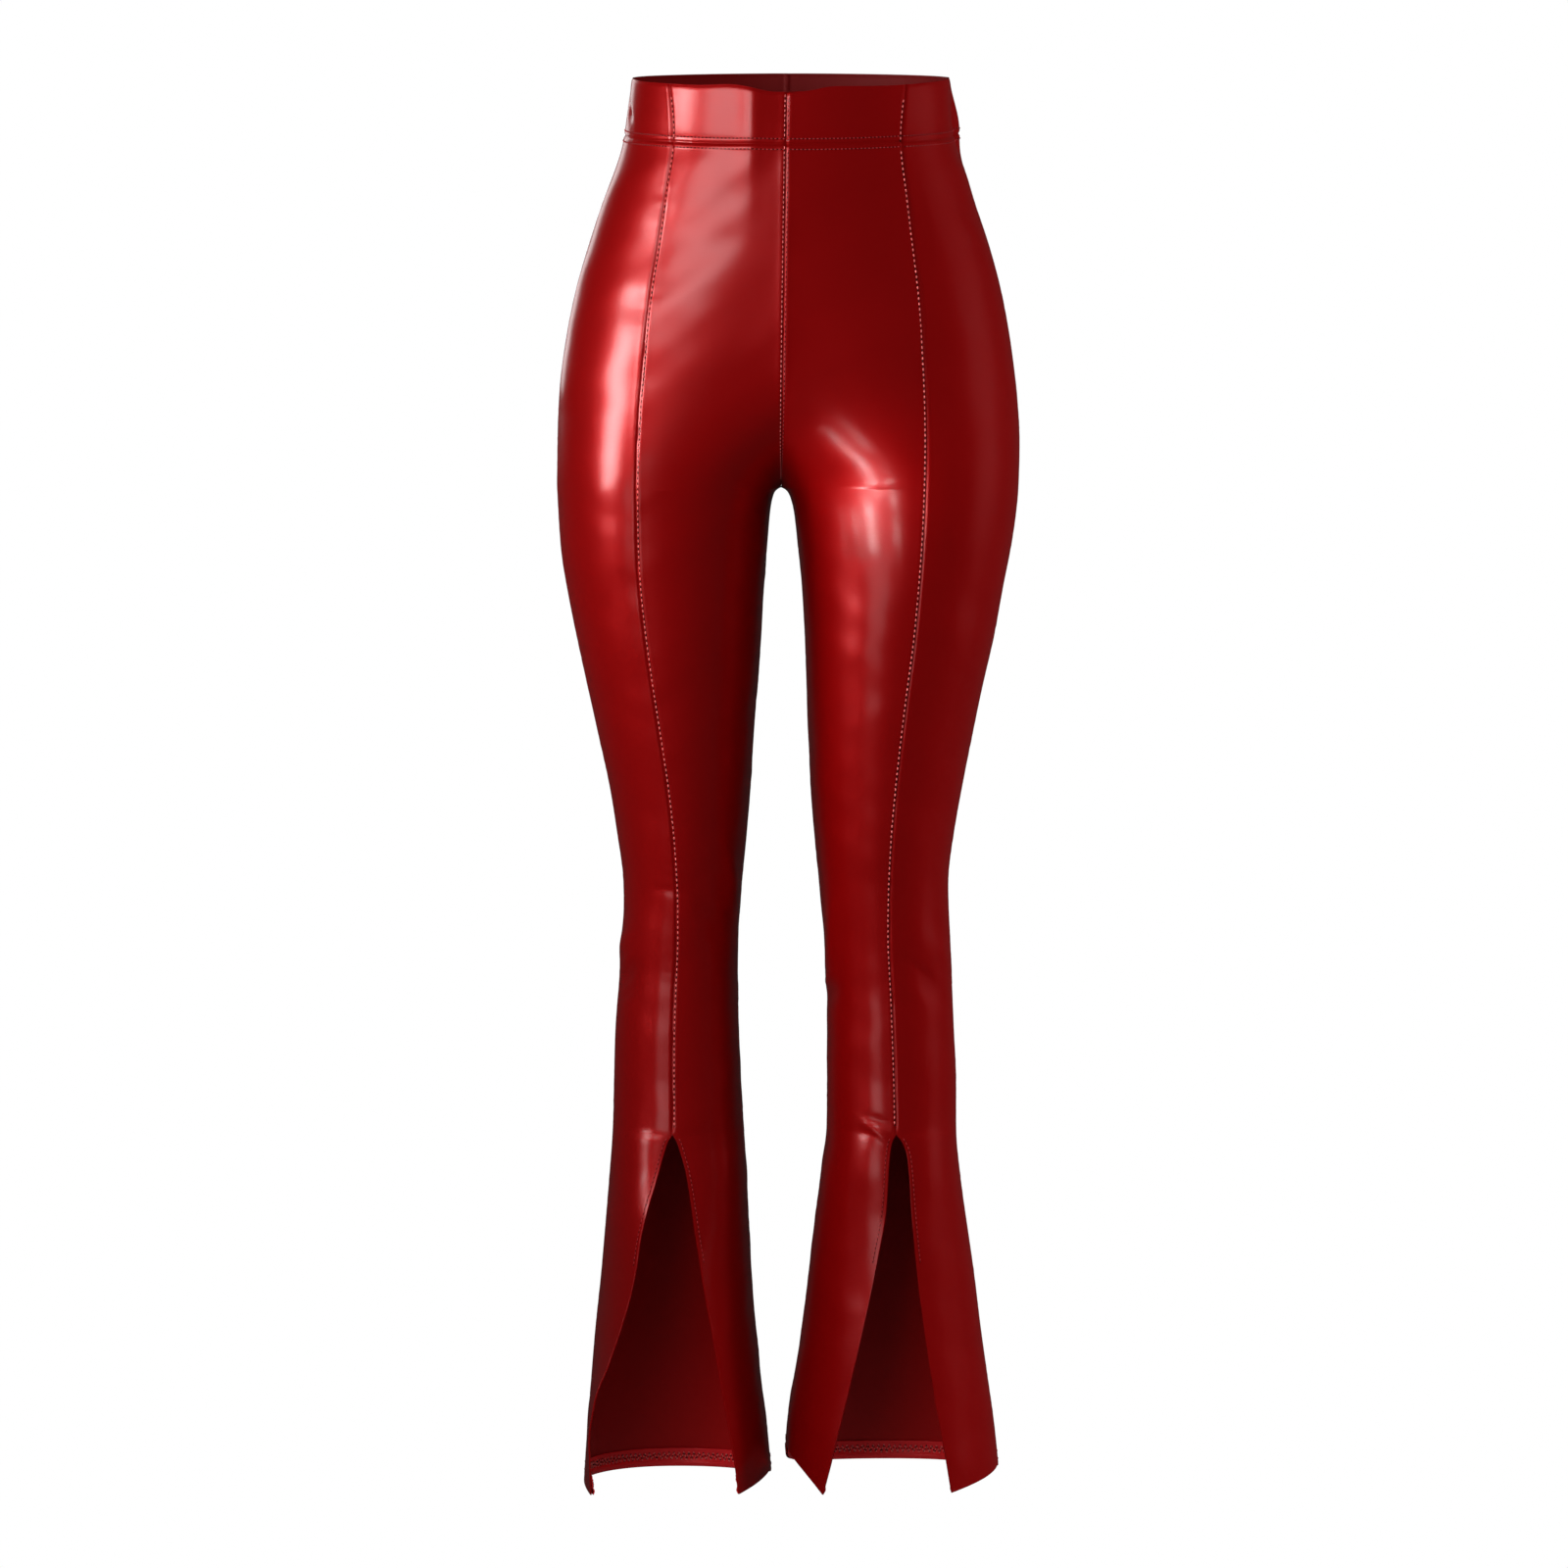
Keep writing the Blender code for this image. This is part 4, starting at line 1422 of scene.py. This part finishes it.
    def round_rows(self, region: Region) -> list[LaidRow]:
        """Rows that run round the leg on one panel.

        Args:
            region: the panel.

        Returns:
            The two rows at its waist seam, those of a back's hem, and the loops inside its hem.
        """
        leg = self.leg
        rows = []
        for gap in (self.beside_waist, -self.beside_waist):
            path = self.across(region, leg.waist_seam, gap, self.cover_lift)
            rows.append(self.cover_stitch.lay(*path))
        for rise in self.hem_rows if region is Region.BACK else ():
            path = self.across(region, leg.hem_edge, rise, self.hem_lift)
            rows.append(self.cover_stitch.lay(*path))
        return [*rows, self.loops(region)]

    def slit_rows(self) -> list[LaidRow]:
        """Rows down the upper part of the slit's two edges."""
        top = self.leg.slit_top - self.below_slit
        paths = (
            self.path_down(region, self.beside_slit, True, top, self.slit_sewn_to)
            for region in (Region.FRONT, Region.FRONT_SIDE)
        )
        return [self.slit_stitch.lay(*path) for path in paths]

    def loops(self, region: Region) -> LaidRow:
        """Lay the zigzag of thread that shows on the inside of a hem.

        Args:
            region: the panel.

        Returns:
            The zigzag's stitches.
        """
        leg = self.leg
        low, high = self.hem_rows
        width = leg.width(region, np.array([leg.hem_level]))[0]
        turns = int(width / self.loop_width)
        share = np.linspace(self.loop_margin, 1 - self.loop_margin, turns)
        rise = np.where(np.arange(turns) % 2 == 0, low, high)
        fine = np.linspace(0, turns - 1, turns * self.loop_points)
        share = np.interp(fine, np.arange(turns), share)
        rise = np.interp(fine, np.arange(turns), rise)
        inside = -(Panel.cloth + HemTurning.loft + HemTurning.cloth + self.loop_stand)
        points, out = self.on_skin(region, share, leg.hem_edge(region, share) + rise, inside)
        return self.loop_stitch.lay(points, -out)


@dataclass(frozen=True)
class Softbox:
    """A rectangular lamp aimed at the garment's middle; a plain one leaves no glint of its own."""

    name: str
    azimuth: float
    height: float
    distance: float
    width: float
    tall: float
    power: float
    aim: float = -0.45
    glint: bool = True
    grid: float = 180.0

    def build(self) -> None:
        """Place the lamp; azimuth 0 is the camera's side and grows to its right."""
        data = bpy.data.lights.new(self.name, "AREA")
        data.shape = "RECTANGLE"
        data.size = self.width
        data.size_y = self.tall
        data.energy = self.power
        data.spread = math.radians(self.grid)
        lamp = bpy.data.objects.new(self.name, data)
        turn = math.radians(self.azimuth)
        place = Vector((math.sin(turn) * self.distance, -math.cos(turn) * self.distance, self.height))
        lamp.location = place
        lamp.rotation_euler = (Vector((0, 0, self.aim)) - place).to_track_quat("-Z", "Y").to_euler()
        lamp.visible_glossy = self.glint
        lamp.visible_camera = False
        bpy.context.collection.objects.link(lamp)


@dataclass(frozen=True)
class Snoot:
    """A lamp whose narrow beam lights one spot of the cloth."""

    name: str
    azimuth: float
    elevation: float
    power: float
    target_height: float
    radius: float = 0.05
    beam: float = 4.6
    target: tuple = (0.058, -0.1)
    distance: float = 1.35

    def build(self) -> None:
        """Place the lamp, its angles measured at the lit spot."""
        data = bpy.data.lights.new(self.name, "SPOT")
        data.energy = self.power
        data.shadow_soft_size = self.radius
        data.spot_size = math.radians(self.beam)
        data.spot_blend = 1.0
        lamp = bpy.data.objects.new(self.name, data)
        turn, rise = math.radians(self.azimuth), math.radians(self.elevation)
        away = Vector((math.sin(turn) * math.cos(rise), -math.cos(turn) * math.cos(rise), math.sin(rise)))
        lamp.location = Vector((*self.target, self.target_height)) + away * self.distance
        lamp.rotation_euler = away.to_track_quat("Z", "Y").to_euler()
        bpy.context.collection.objects.link(lamp)


@dataclass
class Studio:
    """Plain pale surroundings, soft lamps and the camera."""

    floor_height: float = -1.14
    floor_size: float = 30.0
    floor_grey: float = 0.3
    camera_place: tuple = (-0.0022, -3.6, -0.20)
    camera_pitch: float = -4.896
    lens: float = 109.86
    sensor: float = 36.0
    ambient: float = 0.28
    mirrored: float = 0.02
    lamps: tuple[Softbox, ...] = (
        Softbox("key_softbox_high", azimuth=-66, height=0.39, distance=2.3, width=0.8, tall=0.5,
                power=0.94, aim=-0.19, grid=36),
        Softbox("key_softbox_low", azimuth=-66, height=-0.11, distance=2.3, width=0.8, tall=0.5,
                power=0.94, aim=-0.19, grid=36),
        Softbox("belly_softbox", azimuth=-35, height=0.62, distance=2.4, width=1.2, tall=0.45,
                power=11, aim=-0.15),
        Softbox("front_fill", azimuth=-24, height=0.1, distance=3.4, width=2.0, tall=2.0,
                power=46, glint=False),
        Softbox("leg_glow", azimuth=-34, height=-0.75, distance=3.0, width=1.2, tall=0.6,
                power=0.45, aim=-0.8, grid=60),
        Softbox("right_fill", azimuth=96, height=0.0, distance=3.0, width=1.6, tall=2.0,
                power=92, glint=False),
        Softbox("back_fill", azimuth=170, height=0.3, distance=3.2, width=1.6, tall=1.8,
                power=35, glint=False),
        Softbox("back_glow", azimuth=205, height=0.5, distance=3.0, width=0.9, tall=1.3, power=6),
    )
    snoots: tuple[Snoot, ...] = (
        Snoot("thigh_snoot_1", azimuth=-66, elevation=-10, power=20, target_height=-0.27,
              radius=0.035, beam=3.8),
        Snoot("thigh_snoot_2", azimuth=-52, elevation=-12, power=19, target_height=-0.272,
              radius=0.035, beam=3.8),
        Snoot("thigh_snoot_3", azimuth=-40, elevation=-16, power=17, target_height=-0.278),
        Snoot("thigh_snoot_4", azimuth=-31, elevation=-24, power=14, target_height=-0.286),
        Snoot("thigh_snoot_5", azimuth=-18, elevation=-17, power=8, target_height=-0.282),
        Snoot("thigh_snoot_6", azimuth=-28, elevation=-33, power=16, target_height=-0.286,
              radius=0.035, beam=3.0),
    )

    def build(self) -> None:
        """Make the surroundings, the lamps and the camera."""
        self.build_surroundings()
        self.build_floor()
        for lamp in (*self.lamps, *self.snoots):
            lamp.build()
        self.build_camera()

    def build_surroundings(self) -> None:
        """Make a world that is white to the camera and softly lights the cloth."""
        scene = bpy.context.scene
        scene.view_settings.view_transform = "Standard"
        world = bpy.data.worlds.new("studio")
        scene.world = world
        world.use_nodes = True
        tree = world.node_tree
        backdrop = tree.nodes["Background"]
        around, mirrored = (tree.nodes.new("ShaderNodeBackground") for _ in range(2))
        for node, strength in ((backdrop, 1.0), (around, self.ambient), (mirrored, self.mirrored)):
            node.inputs["Color"].default_value = (1, 1, 1, 1)
            node.inputs["Strength"].default_value = strength
        path = tree.nodes.new("ShaderNodeLightPath")
        glossy, seen = (tree.nodes.new("ShaderNodeMixShader") for _ in range(2))
        tree.links.new(path.outputs["Is Glossy Ray"], glossy.inputs[0])
        tree.links.new(around.outputs[0], glossy.inputs[1])
        tree.links.new(mirrored.outputs[0], glossy.inputs[2])
        tree.links.new(path.outputs["Is Camera Ray"], seen.inputs[0])
        tree.links.new(glossy.outputs[0], seen.inputs[1])
        tree.links.new(backdrop.outputs[0], seen.inputs[2])
        tree.links.new(seen.outputs[0], tree.nodes["World Output"].inputs["Surface"])

    def build_floor(self) -> None:
        """Make the floor, which melts into the white around it."""
        grid = bmesh.new()
        bmesh.ops.create_grid(grid, x_segments=1, y_segments=1, size=self.floor_size / 2)
        mesh = bpy.data.meshes.new("floor")
        grid.to_mesh(mesh)
        grid.free()
        floor = bpy.data.objects.new("floor", mesh)
        floor.location.z = self.floor_height
        floor.visible_glossy = False
        bpy.context.collection.objects.link(floor)
        mesh.materials.append(self.floor_material())

    def floor_material(self) -> bpy.types.Material:
        """White to the camera, pale grey to the light."""
        material = bpy.data.materials.new("floor")
        material.use_nodes = True
        tree = material.node_tree
        tree.nodes.remove(tree.nodes["Principled BSDF"])
        white = tree.nodes.new("ShaderNodeEmission")
        white.inputs["Strength"].default_value = 1.0
        pale = tree.nodes.new("ShaderNodeBsdfDiffuse")
        pale.inputs["Color"].default_value = (self.floor_grey, self.floor_grey, self.floor_grey, 1)
        path = tree.nodes.new("ShaderNodeLightPath")
        choice = tree.nodes.new("ShaderNodeMixShader")
        tree.links.new(path.outputs["Is Camera Ray"], choice.inputs[0])
        tree.links.new(pale.outputs[0], choice.inputs[1])
        tree.links.new(white.outputs[0], choice.inputs[2])
        tree.links.new(choice.outputs[0], tree.nodes["Material Output"].inputs["Surface"])
        return material

    def build_camera(self) -> None:
        """Place the camera as the photograph's, level with the hips and tipped down."""
        data = bpy.data.cameras.new("camera")
        data.lens = self.lens
        data.sensor_width = self.sensor
        data.dof.use_dof = False
        camera = bpy.data.objects.new("camera", data)
        camera.location = self.camera_place
        camera.rotation_euler = (math.radians(90 + self.camera_pitch), 0, 0)
        bpy.context.collection.objects.link(camera)
        bpy.context.scene.camera = camera


def main() -> None:
    """Dress both halves of the garment and light them."""
    logging.basicConfig(level=logging.INFO, format="%(name)s: %(message)s")
    Studio().build()
    coated, backing, thread = CoatedCloth().make(), Backing().make(), Thread().make()
    # The waistband's inner face is the backing cloth made much darker: painted shade for the inside of the
    # band.
    band_backing = Backing("band_backing", colour=(0.13, 0.0006, 0.0008)).make()
    tonal = Thread("tonal_thread", colour=(0.5, 0.03, 0.035)).make()
    # Near-black beads at the needle holes: painted shade standing in for the dark inside of each hole.
    hole = Backing("needle_hole", colour=(0.015, 0.0001, 0.0001)).make()
    # The turned hem is the coated cloth painted far paler: painted light standing in for the light that falls
    # on the turning.
    hem_coat_painted_light = CoatedCloth("turned_hem", deep=(0.8, 0.02, 0.026), bright=(0.88, 0.03, 0.036), metallic=0.3)
    turned = hem_coat_painted_light.make()
    legs = (
        Leg(Side.RIGHT, RIGHT_LEVELS, RIGHT_SLIT, RIGHT_HEM, RIGHT_CREASES),
        Leg(Side.LEFT, LEFT_LEVELS, LEFT_SLIT, LEFT_HEM, LEFT_CREASES),
    )
    cuts = {
        Region.FRONT: Cut(width=0.17, length=1.04, area=0.106, band_width=0.092, band_area=0.0038,
                          turning_width=0.087, columns=34),
        Region.FRONT_SIDE: Cut(width=0.132, length=1.03, area=0.103, band_width=0.087, band_area=0.0035,
                               turning_width=0.086, columns=34),
        Region.BACK: Cut(width=0.32, length=1.07, area=0.226, band_width=0.178, band_area=0.0073,
                         turning_width=0.245, columns=74),
    }
    for leg in legs:
        for region, cut in cuts.items():
            Panel(leg, region, cut).build(coated, backing)
            BandPiece(leg, region, cut).build(coated, band_backing)
            HemTurning(leg, region, cut).build(turned)
        Stitching(leg).build([thread, tonal, hole])


if __name__ == "__main__":
    main()
